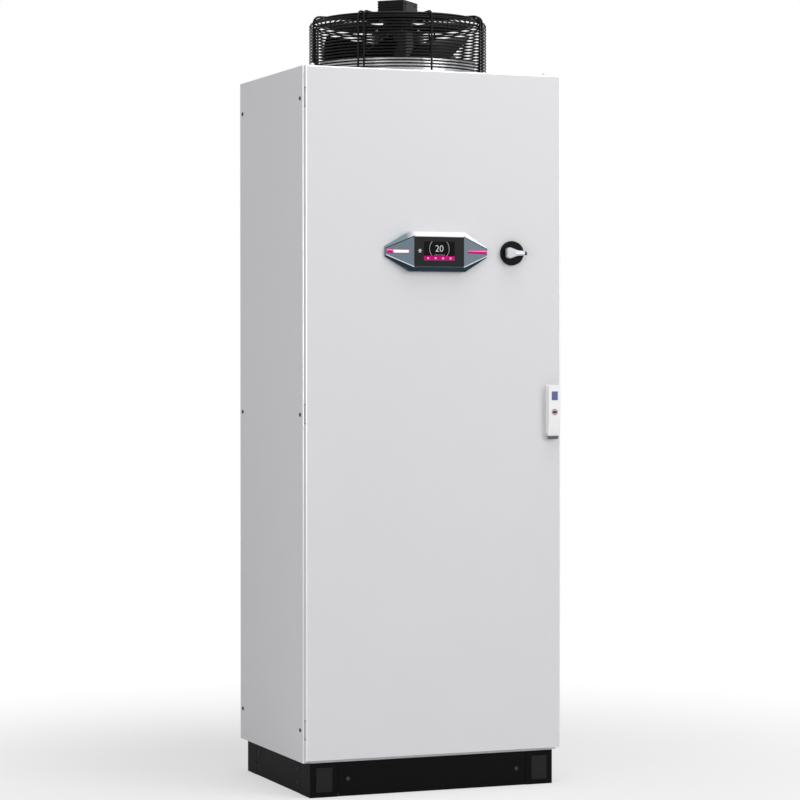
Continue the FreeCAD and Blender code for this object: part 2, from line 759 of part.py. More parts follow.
def hinge_bracket(z):
    """Return a plate on the post with two ears above and below the pin."""
    plate_y = FRAME_FRONT_Y - HINGE_PLATE_THICKNESS
    plate_x = -FRAME_X + HINGE_PLATE_WIDTH
    low = z - HINGE_HEIGHT / 2
    pieces = [box((-FRAME_X, plate_x), (plate_y, FRAME_FRONT_Y), (low, low + HINGE_HEIGHT))]
    ear_end = -FRAME_X + HINGE_PLATE_WIDTH / 2
    half = HINGE_EAR_RADIUS / 2
    outline = [
        (HINGE_X - HINGE_EAR_RADIUS, HINGE_Y + half),
        (HINGE_X - half, HINGE_Y + HINGE_EAR_RADIUS),
        (ear_end, FRAME_FRONT_Y),
        (ear_end, HINGE_Y - HINGE_EAR_RADIUS),
        (HINGE_X - half, HINGE_Y - HINGE_EAR_RADIUS),
        (HINGE_X - HINGE_EAR_RADIUS, HINGE_Y - half),
    ]
    for start in (low, low + HINGE_HEIGHT - HINGE_EAR_THICKNESS):
        pieces.append(prism(outline, "z", start, start + HINGE_EAR_THICKNESS))
    return joined(pieces)


def hinge_pin(z):
    """Return the pin between the two ears."""
    length = HINGE_HEIGHT - 2 * HINGE_EAR_THICKNESS
    return cylinder(HINGE_PIN_RADIUS, Vector(HINGE_X, HINGE_Y, z - length / 2), UP, length)


def hinge_knuckle(z):
    """Return the block inside the door edge that turns on the pin."""
    block = box(
        (HINGE_X - HINGE_FROM_EDGE + DOOR_SHEET, HINGE_X + KNUCKLE_REACH),
        (DOOR_INSIDE_Y, HINGE_Y + HINGE_EAR_RADIUS),
        around(z, KNUCKLE_HEIGHT),
    )
    start = Vector(HINGE_X, HINGE_Y, z - KNUCKLE_HEIGHT / 2)
    return block.cut(cylinder(HINGE_PIN_RADIUS + RUNNING_FIT, start, UP, KNUCKLE_HEIGHT))


# Door
SPINDLE_Z = HANDLE_BOTTOM_Z + HANDLE_HEIGHT - SPINDLE_FROM_TOP


def door_panel():
    """Return the folded door with its cut-outs and the slots that clear the hinges."""
    skin = box((-SIDE_X, SIDE_X), (FRONT_Y, DOOR_BACK_Y), (DOOR_BOTTOM_Z, DOOR_TOP_Z))
    front = [edge for edge in skin.Edges if all(abs(v.Y - FRONT_Y) < SEAM for v in edge.Vertexes)]
    skin = skin.makeFillet(DOOR_EDGE_RADIUS, front)
    cuts = [
        box(
            (-SIDE_X + DOOR_SHEET, SIDE_X - DOOR_SHEET),
            (DOOR_INSIDE_Y, DOOR_BACK_Y),
            (DOOR_BOTTOM_Z + DOOR_SHEET, DOOR_TOP_Z - DOOR_SHEET),
        ),
        box(
            around(0, PANEL_BOX_WIDTH + SEAM),
            (FRONT_Y, DOOR_INSIDE_Y),
            around(PANEL_Z, PANEL_BOX_HEIGHT + SEAM),
        ),
        cylinder(
            KNOB_TUBE_RADIUS + MOVING_GAP, Vector(SWITCH_X, FRONT_Y, SWITCH_Z), TO_REAR, DOOR_SHEET
        ),
        cylinder(HUB_RADIUS + MOVING_GAP, Vector(HANDLE_X, FRONT_Y, SPINDLE_Z), TO_REAR, DOOR_SHEET),
    ]
    for z in HINGE_LEVELS:
        slot_height = HINGE_HEIGHT + HINGE_EAR_RADIUS * 2
        slot = box(
            (-SIDE_X, -SIDE_X + DOOR_SHEET), (DOOR_INSIDE_Y, DOOR_BACK_Y), around(z, slot_height)
        )
        cuts.append(slot)
    return skin.cut(cuts)


def door_stiffeners():
    """Return four channels that open towards the door skin."""
    depth = DOOR_BACK_Y - DOOR_SHEET - DOOR_INSIDE_Y
    back = DOOR_INSIDE_Y + depth
    low = DOOR_BOTTOM_Z + STIFFENER_END
    high = DOOR_TOP_Z - STIFFENER_END
    bars = []
    for side in (-1, 1):
        outer = box(around(side * STIFFENER_X, STIFFENER_WIDTH), (DOOR_INSIDE_Y, back), (low, high))
        inner_width = STIFFENER_WIDTH - 2 * DOOR_SHEET
        inner = box(
            around(side * STIFFENER_X, inner_width), (DOOR_INSIDE_Y, back - DOOR_SHEET), (low, high)
        )
        bars.append(outer.cut(inner))
    bar_end = STIFFENER_X - STIFFENER_WIDTH / 2
    for z in (low + STIFFENER_WIDTH / 2, high - STIFFENER_WIDTH / 2):
        outer = box((-bar_end, bar_end), (DOOR_INSIDE_Y, back), around(z, STIFFENER_WIDTH))
        inner_width = STIFFENER_WIDTH - 2 * DOOR_SHEET
        inner = box(
            (-bar_end, bar_end), (DOOR_INSIDE_Y, back - DOOR_SHEET), around(z, inner_width)
        )
        bars.append(outer.cut(inner))
    return Part.makeCompound(bars)


GASKET_OUTER_X = INNER_X + GASKET_WIDTH


def door_gasket():
    """Return the foam frame between the door and the cabinet frame."""
    outer_x = GASKET_OUTER_X
    inner_x = outer_x - GASKET_WIDTH
    low = CABINET_Z + POST_SIZE / 2
    high = FRAME_TOP_Z - POST_SIZE / 2
    depth = (DOOR_INSIDE_Y, FRAME_FRONT_Y - GASKET_PRESS_GAP)
    outer = box((-outer_x, outer_x), depth, (low, high))
    inner = box((-inner_x, inner_x), depth, (low + GASKET_WIDTH, high - GASKET_WIDTH))
    return outer.cut(inner)


# Operating panel
PANEL_FACE_Y = FRONT_Y - PANEL_PROTRUSION
FACE_FLAT_HALF = PANEL_FLAT_HALF - PANEL_RIM / 3
FACE_HALF_HEIGHT = PANEL_HALF_HEIGHT - PANEL_RIM
FACE_HALF_WIDTH = PANEL_HALF_WIDTH - PANEL_TIP_RIM
FACE_TIP_HALF = PANEL_TIP_HALF - PANEL_TIP_RIM
LIGHT_OUTER = FACE_HALF_WIDTH - SEAM
LIGHT_INNER = GLASS_WIDTH / 2 + LIGHT_FROM_GLASS


def long_hexagon(flat_half, half_height, half_width, tip_half):
    """Return the corners of a long hexagon with blunt tips, from its lower left tip on."""
    return [
        (-half_width, -tip_half),
        (-flat_half, -half_height),
        (flat_half, -half_height),
        (half_width, -tip_half),
        (half_width, tip_half),
        (flat_half, half_height),
        (-flat_half, half_height),
        (-half_width, tip_half),
    ]


def wing_y(x):
    """Return the depth of the housing's face, which falls back from its flat middle to its tips."""
    outside = max(abs(x) - FACE_FLAT_HALF, 0)
    return PANEL_FACE_Y + PANEL_TIP_DROP * outside / (FACE_HALF_WIDTH - FACE_FLAT_HALF)


def light_outline(side, gap):
    """Return the tapering outline of a light bar, widened by a gap."""
    return [
        (side * (LIGHT_OUTER + gap), PANEL_Z - LIGHT_BAR_HALF - gap),
        (side * (LIGHT_OUTER + gap), PANEL_Z + LIGHT_BAR_HALF + gap),
        (side * (LIGHT_INNER - gap), PANEL_Z + LIGHT_BAR_HALF / 3 + gap),
        (side * (LIGHT_INNER - gap), PANEL_Z - LIGHT_BAR_HALF / 3 - gap),
    ]


def light_bar(side, gap):
    """Return a light bar that follows its wing and stands a little proud of it."""
    outline = light_outline(side, gap)
    front = [Vector(x, wing_y(x) - GLASS_PROUD, z) for x, z in outline]
    back = [Vector(x, wing_y(x) + LIGHT_BAR_DEPTH + gap, z) for x, z in outline]
    outlines = [front, back]
    for i in range(len(front)):
        outlines.append([front[i - 1], front[i], back[i], back[i - 1]])
    return solid_from(outlines)


def panel_housing():
    """Return the housing with its slanted rim, wings that fall back, and its pockets."""
    outer = long_hexagon(PANEL_FLAT_HALF, PANEL_HALF_HEIGHT, PANEL_HALF_WIDTH, PANEL_TIP_HALF)
    inner = long_hexagon(FACE_FLAT_HALF, FACE_HALF_HEIGHT, FACE_HALF_WIDTH, FACE_TIP_HALF)
    back = [Vector(x, FRONT_Y, PANEL_Z + z) for x, z in outer]
    front = [Vector(x, wing_y(x), PANEL_Z + z) for x, z in inner]
    left_wing = [front[0], front[1], front[6], front[7]]
    middle = [front[1], front[2], front[5], front[6]]
    right_wing = [front[2], front[3], front[4], front[5]]
    outlines = [back, left_wing, middle, right_wing]
    for i in range(len(back)):
        outlines.append([back[i - 1], back[i], front[i]])
        outlines.append([back[i - 1], front[i], front[i - 1]])
    body = solid_from(outlines)
    rear_box = box(
        around(0, PANEL_BOX_WIDTH),
        (FRONT_Y, FRONT_Y + PANEL_BOX_DEPTH),
        around(PANEL_Z, PANEL_BOX_HEIGHT),
    )
    glass_pocket = box(
        around(0, GLASS_WIDTH + SEAM),
        (PANEL_FACE_Y, PANEL_FACE_Y + GLASS_THICKNESS),
        around(PANEL_Z, GLASS_HEIGHT + SEAM),
    )
    pockets = [glass_pocket, light_bar(-1, SEAM / 2), light_bar(1, SEAM / 2)]
    return body.fuse(rear_box).cut(pockets)


def panel_glass():
    face = PANEL_FACE_Y - GLASS_PROUD
    depth = (face, PANEL_FACE_Y + GLASS_THICKNESS)
    return box(around(0, GLASS_WIDTH), depth, around(PANEL_Z, GLASS_HEIGHT))


# Main switch
KNOB_BACK_Y = FRONT_Y - ROSETTE_THICKNESS - MOVING_GAP
KNOB_FACE_Y = KNOB_BACK_Y - KNOB_THICKNESS
SOCKET_RADIUS = SHAFT_RADIUS + SHAFT_SOCKET_GAP
TRAY_BACK_Y = FRAME_FRONT_Y + DOOR_TO_FRAME + TRAY_DEPTH
TRAY_FACE_Y = TRAY_BACK_Y - PARTITION_SHEET


def switch_rosette():
    face = FRONT_Y - ROSETTE_THICKNESS
    disc = prism(regular_polygon(ROSETTE_RADIUS, FAN_SIDES, (SWITCH_X, SWITCH_Z)), "y", face, FRONT_Y)
    room = (KNOB_TUBE_RADIUS + MOVING_GAP) / math.cos(math.pi / SHELL_SIDES)
    hole = prism(regular_polygon(room, SHELL_SIDES, (SWITCH_X, SWITCH_Z)), "y", face, FRONT_Y)
    return disc.cut(hole)


def switch_knob():
    """Return the turning disc with its pointing nose and the tube that goes through the door."""
    middle = (SWITCH_X, SWITCH_Z)
    disc = prism(regular_polygon(KNOB_RADIUS, FAN_SIDES, middle), "y", KNOB_FACE_Y, KNOB_BACK_Y)
    nose = [
        (SWITCH_X, SWITCH_Z - KNOB_NOSE_HALF),
        (SWITCH_X + KNOB_NOSE, SWITCH_Z - KNOB_NOSE_HALF / 2),
        (SWITCH_X + KNOB_NOSE, SWITCH_Z + KNOB_NOSE_HALF / 2),
        (SWITCH_X, SWITCH_Z + KNOB_NOSE_HALF),
    ]
    tube_end = FRONT_Y + KNOB_TUBE_DEPTH
    tube = prism(regular_polygon(KNOB_TUBE_RADIUS, SHELL_SIDES, middle), "y", KNOB_BACK_Y, tube_end)
    body = joined([disc, prism(nose, "y", KNOB_FACE_Y, KNOB_BACK_Y), tube])
    socket = prism(regular_polygon(SOCKET_RADIUS, SHELL_SIDES / 2, middle), "y", KNOB_BACK_Y, tube_end)
    return body.cut(socket)


def switch_grip():
    """Return the grip that is wide at the left and narrow at its pointing end."""
    outline = [
        (SWITCH_X - GRIP_LEFT, SWITCH_Z - GRIP_WIDE_HALF * 0.8),
        (SWITCH_X - GRIP_LEFT * 0.6, SWITCH_Z - GRIP_WIDE_HALF),
        (SWITCH_X + GRIP_RIGHT, SWITCH_Z - GRIP_NARROW_HALF),
        (SWITCH_X + GRIP_RIGHT, SWITCH_Z + GRIP_NARROW_HALF),
        (SWITCH_X - GRIP_LEFT * 0.6, SWITCH_Z + GRIP_WIDE_HALF),
        (SWITCH_X - GRIP_LEFT, SWITCH_Z + GRIP_WIDE_HALF * 0.8),
    ]
    return prism(outline, "y", KNOB_FACE_Y - GRIP_HEIGHT, KNOB_FACE_Y)


SWITCH_BODY_FACE_Y = TRAY_FACE_Y - SWITCH_BODY_DEPTH


def switch_body():
    """Return the load-break switch on the mounting wall with the bearing for its shaft."""
    body = box(
        around(SWITCH_X, SWITCH_BODY_WIDTH),
        (SWITCH_BODY_FACE_Y, TRAY_FACE_Y),
        around(SWITCH_Z, SWITCH_BODY_WIDTH * 1.2),
    )
    depth = SWITCH_BODY_DEPTH / 3
    bearing = cylinder(
        SHAFT_RADIUS + RUNNING_FIT, Vector(SWITCH_X, SWITCH_BODY_FACE_Y, SWITCH_Z), TO_REAR, depth
    )
    return body.cut(bearing)


def switch_shaft():
    start = Vector(SWITCH_X, KNOB_BACK_Y + SHAFT_SOCKET_GAP, SWITCH_Z)
    end = SWITCH_BODY_FACE_Y + SWITCH_BODY_DEPTH / 3 - MOVING_GAP
    return cylinder(SHAFT_RADIUS, start, TO_REAR, end - start.y)


# Handle and lock
HANDLE_TOP_Z = HANDLE_BOTTOM_Z + HANDLE_HEIGHT
BASE_FACE_Y = FRONT_Y - HANDLE_BASE_THICKNESS
LEVER_BACK_Y = BASE_FACE_Y - LEVER_BASE_GAP
LEVER_FACE_Y = LEVER_BACK_Y - LEVER_THICKNESS
PIVOT_Y = LEVER_BACK_Y - PIVOT_DEPTH


def handle_base():
    plate = box(
        around(HANDLE_X, HANDLE_WIDTH), (BASE_FACE_Y, FRONT_Y), (HANDLE_BOTTOM_Z, HANDLE_TOP_Z)
    )
    hole = cylinder(
        HUB_RADIUS + RUNNING_FIT, Vector(HANDLE_X, FRONT_Y, SPINDLE_Z), -TO_REAR, HANDLE_BASE_THICKNESS
    )
    return plate.cut(hole)


def handle_hub():
    """Return the turning hub with the tongue that carries the lever and the spindle for the pinion."""
    hub = cylinder(
        HUB_RADIUS, Vector(HANDLE_X, BASE_FACE_Y, SPINDLE_Z), TO_REAR, DOOR_INSIDE_Y - BASE_FACE_Y
    )
    spindle_length = DOOR_BACK_Y - DOOR_SHEET * 2 - DOOR_INSIDE_Y
    spindle = box(
        around(HANDLE_X, SPINDLE_SIZE),
        (DOOR_INSIDE_Y, DOOR_INSIDE_Y + spindle_length),
        around(SPINDLE_Z, SPINDLE_SIZE),
    )
    tongue = box(
        around(HANDLE_X, TONGUE_HALF_WIDTH * 2), (PIVOT_Y, BASE_FACE_Y), around(SPINDLE_Z, TONGUE_RADIUS * 2)
    )
    pivot_start = Vector(HANDLE_X - TONGUE_HALF_WIDTH, PIVOT_Y, SPINDLE_Z)
    eye_outline = regular_polygon(TONGUE_RADIUS, SHELL_SIDES / 2, (PIVOT_Y, SPINDLE_Z))
    eye = prism(eye_outline, "x", HANDLE_X - TONGUE_HALF_WIDTH, HANDLE_X + TONGUE_HALF_WIDTH)
    hole = cylinder(LEVER_PIN_RADIUS + RUNNING_FIT, pivot_start, TO_RIGHT, TONGUE_HALF_WIDTH * 2)
    return joined([hub, spindle, tongue, eye]).cut(hole)


def handle_lever():
    """Return the lifting lever: a slanted back above the pivot, an undercut grip below."""
    lift = math.radians(LEVER_LIFT_ANGLE)
    slant_end_y = LEVER_BACK_Y - SPINDLE_FROM_TOP * math.tan(lift)
    grip_z = HANDLE_BOTTOM_Z + LEVER_GRIP_LENGTH
    side_view = [
        (LEVER_BACK_Y, HANDLE_BOTTOM_Z + LEVER_UNDERCUT),
        (LEVER_BACK_Y, SPINDLE_Z),
        (slant_end_y, HANDLE_TOP_Z),
        (LEVER_FACE_Y, HANDLE_TOP_Z),
        (LEVER_FACE_Y, grip_z),
        (LEVER_FACE_Y + LEVER_GRIP_SLOPE, HANDLE_BOTTOM_Z),
    ]
    x_left, x_right = around(HANDLE_X, HANDLE_WIDTH)
    body = prism(side_view, "x", x_left, x_right)
    slot_half = TONGUE_HALF_WIDTH + MOVING_GAP
    slot_front = LEVER_FACE_Y + LEVER_FRONT_SKIN
    slot = box(
        around(HANDLE_X, slot_half * 2),
        (slot_front, LEVER_BACK_Y),
        (SPINDLE_Z - 2 * TONGUE_RADIUS, HANDLE_TOP_Z),
    )
    pin_start = Vector(HANDLE_X - LEVER_PIN_LENGTH / 2, PIVOT_Y, SPINDLE_Z)
    pin_hole = cylinder(LEVER_PIN_RADIUS, pin_start, TO_RIGHT, LEVER_PIN_LENGTH)
    insert_hole = cylinder(
        INSERT_RADIUS + RUNNING_FIT,
        Vector(HANDLE_X, LEVER_FACE_Y, INSERT_Z),
        TO_REAR,
        INSERT_DEPTH + MOVING_GAP,
    )
    return body.cut([slot, pin_hole, insert_hole])


def lever_pin():
    start = Vector(HANDLE_X - LEVER_PIN_LENGTH / 2, PIVOT_Y, SPINDLE_Z)
    return cylinder(LEVER_PIN_RADIUS, start, TO_RIGHT, LEVER_PIN_LENGTH)


def lock_insert():
    """Return the round lock insert with its key slot."""
    face = LEVER_FACE_Y - INSERT_PROUD
    barrel = cylinder(
        INSERT_RADIUS, Vector(HANDLE_X, face, INSERT_Z), TO_REAR, INSERT_DEPTH + INSERT_PROUD
    )
    slot = box(
        around(HANDLE_X, KEY_SLOT_WIDTH), (face, face + INSERT_DEPTH / 2), around(INSERT_Z, KEY_SLOT_LENGTH)
    )
    return barrel.cut(slot)


PITCH_RADIUS = PINION_TEETH * PINION_MODULE / 2
TOOTH_PITCH = math.pi * PINION_MODULE
ROD_FRONT_Y = DOOR_INSIDE_Y + ROD_FROM_SKIN
ROD_BACK_Y = ROD_FRONT_Y + ROD_THICKNESS
PINION_ROOT = PITCH_RADIUS - RACK_ADDENDUM - TOOTH_ROOT_GAP
RACK_ROOT = PITCH_RADIUS + PINION_ADDENDUM + TOOTH_ROOT_GAP


def involute(angle):
    return math.tan(angle) - angle


def pinion_outline():
    """Return the toothed outline with involute flanks and a tooth on the first axis."""
    pressure = math.radians(PRESSURE_ANGLE)
    base_radius = PITCH_RADIUS * math.cos(pressure)
    half_at_pitch = (TOOTH_PITCH / 4 - TOOTH_BACKLASH) / PITCH_RADIUS
    flank = []
    for radius in (base_radius, PITCH_RADIUS, PITCH_RADIUS + PINION_ADDENDUM):
        at_radius = math.acos(min(1.0, base_radius / radius))
        flank.append((radius, half_at_pitch + involute(pressure) - involute(at_radius)))
    flank.insert(0, (PINION_ROOT, flank[0][1]))
    outline = []
    for tooth in range(PINION_TEETH):
        middle = 2 * math.pi * tooth / PINION_TEETH
        rising = [(radius, middle - half) for radius, half in flank]
        falling = [(radius, middle + half) for radius, half in reversed(flank)]
        for radius, angle in rising + falling:
            outline.append((HANDLE_X + radius * math.cos(angle), SPINDLE_Z + radius * math.sin(angle)))
    return outline


def lock_pinion():
    gear = prism(pinion_outline(), "y", ROD_FRONT_Y, ROD_BACK_Y)
    square = box(
        around(HANDLE_X, SPINDLE_SIZE), (ROD_FRONT_Y, ROD_BACK_Y), around(SPINDLE_Z, SPINDLE_SIZE)
    )
    return gear.cut(square)


KEEPER_TOP_Z = DOOR_TOP_Z - KEEPER_END
KEEPER_BOTTOM_Z = DOOR_BOTTOM_Z + KEEPER_END


def rod_x_range(side):
    """Return the X range of the plain rod beside the pinion."""
    return (HANDLE_X + side * RACK_ROOT, HANDLE_X + side * (RACK_ROOT + ROD_WIDTH))


def lock_rod(side, far_z):
    """Return a rod with rack teeth beside the pinion, running to a keeper."""
    toward = 1 if far_z > SPINDLE_Z else -1
    slope = math.tan(math.radians(PRESSURE_ANGLE))
    half_tooth = TOOTH_PITCH / 4 - TOOTH_BACKLASH
    tip = PITCH_RADIUS - RACK_ADDENDUM
    tip_half = half_tooth - RACK_ADDENDUM * slope
    root_half = half_tooth + (RACK_ROOT - PITCH_RADIUS) * slope
    near_z = SPINDLE_Z - toward * TOOTH_PITCH * RACK_TOOTH_COUNT / 2
    inner, outer = rod_x_range(side)
    edge = []
    for i in range(RACK_TOOTH_COUNT):
        middle = near_z + toward * TOOTH_PITCH * (i + 0.5)
        edge.append((inner, middle - toward * root_half))
        edge.append((HANDLE_X + side * tip, middle - toward * tip_half))
        edge.append((HANDLE_X + side * tip, middle + toward * tip_half))
        edge.append((inner, middle + toward * root_half))
    outline = [(outer, near_z), (inner, near_z)] + edge + [(inner, far_z), (outer, far_z)]
    return prism(outline, "y", ROD_FRONT_Y, ROD_BACK_Y)


UPPER_ROD_END = KEEPER_TOP_Z - KEEPER_HEIGHT + ROD_ENGAGED
LOWER_ROD_END = KEEPER_BOTTOM_Z + KEEPER_HEIGHT - ROD_ENGAGED


def lock_keeper(side, z_range):
    """Return a fork on the post, open towards the door, that holds the rod end between its cheeks."""
    inner, outer = rod_x_range(side)
    low_x, high_x = min(inner, outer), max(inner, outer)
    front = ROD_FRONT_Y - KEEPER_WALL / 2
    block = box((low_x - KEEPER_WALL, high_x + KEEPER_WALL), (front, FRAME_FRONT_Y), z_range)
    slot = box((low_x - ROD_GAP, high_x + ROD_GAP), (front, ROD_BACK_Y + ROD_GAP), z_range)
    return block.cut(slot)


def lock_case():
    """Return the box around the pinion, open towards the rods above and below."""
    half_width = RACK_ROOT + ROD_WIDTH + LOCK_CASE_WALL + ROD_GAP
    back = DOOR_BACK_Y - SEAM
    z_range = around(SPINDLE_Z, LOCK_CASE_HEIGHT)
    outer = box(around(HANDLE_X, half_width * 2), (DOOR_INSIDE_Y, back), z_range)
    inner_half = half_width - LOCK_CASE_WALL
    inner = box(around(HANDLE_X, inner_half * 2), (DOOR_INSIDE_Y, back - LOCK_CASE_WALL), z_range)
    return outer.cut(inner)


def rod_guide(side, z):
    """Return a clip on the door skin that a rod slides in."""
    inner, outer = rod_x_range(side)
    low_x, high_x = min(inner, outer), max(inner, outer)
    z_range = around(z, GUIDE_HEIGHT)
    block = box(
        (low_x - GUIDE_WALL, high_x + GUIDE_WALL), (DOOR_INSIDE_Y, ROD_BACK_Y + GUIDE_WALL), z_range
    )
    slot = box(
        (low_x - ROD_GAP, high_x + ROD_GAP), (ROD_FRONT_Y - ROD_GAP, ROD_BACK_Y + ROD_GAP), z_range
    )
    return block.cut(slot)


def rod_guides():
    clips = []
    for part in (1 / 3, 2 / 3):
        clips.append(rod_guide(1, SPINDLE_Z + (UPPER_ROD_END - SPINDLE_Z) * part))
        clips.append(rod_guide(-1, SPINDLE_Z + (LOWER_ROD_END - SPINDLE_Z) * part))
    return Part.makeCompound(clips)


# Fan
NOZZLE_TOP_Z = TOP_Z + NOZZLE_RISE
GUARD_BASE_Z = TOP_Z + NOZZLE_WALL
GUARD_TOP_Z = TOP_Z + GUARD_HEIGHT


def nozzle_ring():
    """Return the flanged inlet ring with a flared mouth below and a rolled lip above."""
    inner = NOZZLE_RADIUS
    outer = NOZZLE_RADIUS + NOZZLE_WALL
    mouth_z = TOP_Z - NOZZLE_DROP
    profile = [
        (inner, NOZZLE_TOP_Z),
        (inner, mouth_z + NOZZLE_FLARE),
        (inner + NOZZLE_FLARE, mouth_z),
        (outer + NOZZLE_FLARE, mouth_z),
        (outer, mouth_z + NOZZLE_FLARE + NOZZLE_WALL),
        (outer, TOP_Z),
        (NOZZLE_FLANGE_RADIUS, TOP_Z),
        (NOZZLE_FLANGE_RADIUS, GUARD_BASE_Z),
        (outer, GUARD_BASE_Z),
        (outer, NOZZLE_TOP_Z - NOZZLE_WALL),
        (outer + NOZZLE_LIP, NOZZLE_TOP_Z - NOZZLE_WALL),
        (outer + NOZZLE_LIP, NOZZLE_TOP_Z),
    ]
    return turned(profile, 0, FAN_Y, FAN_SIDES)


def guard_ring(outer_radius, z):
    """Return a many-sided wire ring whose flats face the ribs."""
    half_step = math.pi / GUARD_RING_SIDES
    corner = outer_radius / math.cos(half_step)
    inner_corner = (outer_radius - GUARD_WIRE) / math.cos(half_step)
    outer = post(corner, 0, 0, (z, z + GUARD_WIRE), GUARD_RING_SIDES)
    ring = outer.cut(post(inner_corner, 0, 0, (z, z + GUARD_WIRE), GUARD_RING_SIDES))
    ring.rotate(Vector(0, 0, 0), UP, math.degrees(half_step))
    ring.translate(Vector(0, FAN_Y, 0))
    return ring


RING_OUTER = GUARD_RADIUS - GUARD_RIB
RIB_TOP_Z = GUARD_TOP_Z
RIB_UNDER_Z = RIB_TOP_Z - GUARD_RIB


def guard_rib(angle, offset):
    """Return a bent bar that rises from the flange and runs over the top to the motor."""
    side_view = [
        (GUARD_RADIUS, GUARD_BASE_Z),
        (GUARD_RADIUS, RIB_TOP_Z - GUARD_SHOULDER),
        (GUARD_RADIUS - GUARD_SHOULDER * 0.3, RIB_TOP_Z - GUARD_SHOULDER * 0.3),
        (GUARD_RADIUS - GUARD_SHOULDER, RIB_TOP_Z),
        (GUARD_RIB_INNER, RIB_TOP_Z),
        (GUARD_RIB_INNER, RIB_UNDER_Z),
        (RING_OUTER - GUARD_SHOULDER + GUARD_RIB / 2, RIB_UNDER_Z),
        (RING_OUTER - GUARD_SHOULDER * 0.3 + GUARD_RIB / 3, RIB_UNDER_Z - GUARD_SHOULDER * 0.3),
        (RING_OUTER, RIB_TOP_Z - GUARD_SHOULDER),
        (RING_OUTER, GUARD_BASE_Z),
    ]
    rib = prism(side_view, "y", offset - GUARD_RIB / 2, offset + GUARD_RIB / 2)
    rib.rotate(Vector(0, 0, 0), UP, angle)
    rib.translate(Vector(0, FAN_Y, 0))
    return rib


def fan_guard():
    """Return the basket of wire rings welded to bent ribs, every second rib doubled."""
    pieces = []
    low = GUARD_BASE_Z + GUARD_RING_PITCH
    high = RIB_TOP_Z - GUARD_SHOULDER - GUARD_WIRE
    count = int((high - low) / GUARD_RING_PITCH)
    for i in range(count + 1):
        pieces.append(guard_ring(RING_OUTER, high - i * GUARD_RING_PITCH))
    for i in range(GUARD_TOP_RINGS):
        radius = RING_OUTER - GUARD_SHOULDER - i * GUARD_TOP_PITCH
        pieces.append(guard_ring(radius, RIB_UNDER_Z - GUARD_WIRE))
    for i in range(GUARD_RIBS):
        angle = i * 360 / GUARD_RIBS
        offsets = (0,) if i % 2 == 0 else (-GUARD_DOUBLE_SPACING / 2, GUARD_DOUBLE_SPACING / 2)
        for offset in offsets:
            pieces.append(guard_rib(angle, offset))
    return joined(pieces)


PLATE_TOP_Z = RIB_TOP_Z + MOTOR_PLATE_THICKNESS
NECK_BOTTOM_Z = RIB_TOP_Z - ROTOR_RADIUS / 3
ROTOR_TOP_Z = NECK_BOTTOM_Z - ROTOR_TOP_GAP
ROTOR_BOTTOM_Z = ROTOR_TOP_Z - ROTOR_HEIGHT
SHAFT_END_Z = ROTOR_TOP_Z - ROTOR_HEIGHT / 2


def fan_motor():
    """Return the motor plate, neck and shaft below with the ribbed electronics box on top."""
    plate = post(MOTOR_PLATE_RADIUS, 0, FAN_Y, (RIB_TOP_Z, PLATE_TOP_Z), SHELL_SIDES)
    neck = post(MOTOR_NECK_RADIUS, 0, FAN_Y, (NECK_BOTTOM_Z, RIB_TOP_Z), SHELL_SIDES)
    shaft = cylinder(MOTOR_SHAFT_RADIUS, Vector(0, FAN_Y, SHAFT_END_Z), UP, NECK_BOTTOM_Z - SHAFT_END_Z)
    x_range = around(0, MOTOR_BOX_WIDTH)
    y_range = around(FAN_Y, MOTOR_BOX_LENGTH)
    housing = box(x_range, y_range, (PLATE_TOP_Z, PLATE_TOP_Z + MOTOR_BOX_HEIGHT))
    grooves = []
    pitch = MOTOR_BOX_HEIGHT / (MOTOR_FIN_COUNT + 1)
    for i in range(MOTOR_FIN_COUNT):
        z_range = around(PLATE_TOP_Z + pitch * (i + 1), pitch / 2)
        for face in y_range:
            grooves.append(box(x_range, around(face, MOTOR_FIN_DEPTH * 2), z_range))
    housing = housing.cut(grooves)
    housing.rotate(Vector(0, FAN_Y, 0), UP, MOTOR_BOX_TURN)
    return joined([plate, neck, shaft, housing])


BLADE_TIP_RADIUS = NOZZLE_RADIUS - BLADE_TIP_GAP
BLADE_Z = NOZZLE_TOP_Z + BLADE_RISE


def blade_section(part):
    """Return the corners of a cambered blade section, part of the way from root to tip."""
    root_radius = ROTOR_RADIUS * 0.8
    radius = root_radius + (BLADE_TIP_RADIUS - root_radius) * part
    half = (BLADE_ROOT_CHORD + (BLADE_TIP_CHORD - BLADE_ROOT_CHORD) * part) / 2
    pitch = math.radians(BLADE_ROOT_PITCH + (BLADE_TIP_PITCH - BLADE_ROOT_PITCH) * part)
    lean = math.radians(BLADE_SWEEP * part * part)
    thin = BLADE_THICKNESS / 2
    corners = []
    for along, across in (
        (-half, -thin),
        (0, BLADE_CAMBER - thin),
        (half, -thin),
        (half, thin),
        (0, BLADE_CAMBER + thin),
        (-half, thin),
    ):
        turn = lean + (along * math.cos(pitch) - across * math.sin(pitch)) / radius
        height = along * math.sin(pitch) + across * math.cos(pitch)
        corners.append(
            Vector(radius * math.cos(turn), FAN_Y + radius * math.sin(turn), BLADE_Z + height)
        )
    return corners


def fan_blade():
    """Return one twisted, swept blade built of flat facets between its sections."""
    sections = [blade_section(i / BLADE_STATIONS) for i in range(BLADE_STATIONS + 1)]
    outlines = []
    for first, last in zip(sections, sections[1:]):
        for i in range(len(first)):
            outlines.append([first[i - 1], first[i], last[i]])
            outlines.append([first[i - 1], last[i], last[i - 1]])
    for section in (sections[0], sections[-1]):
        outlines.append([section[0], section[1], section[4]])
        outlines.append([section[0], section[4], section[5]])
        outlines.append([section[1], section[2], section[3]])
        outlines.append([section[1], section[3], section[4]])
    return solid_from(outlines)


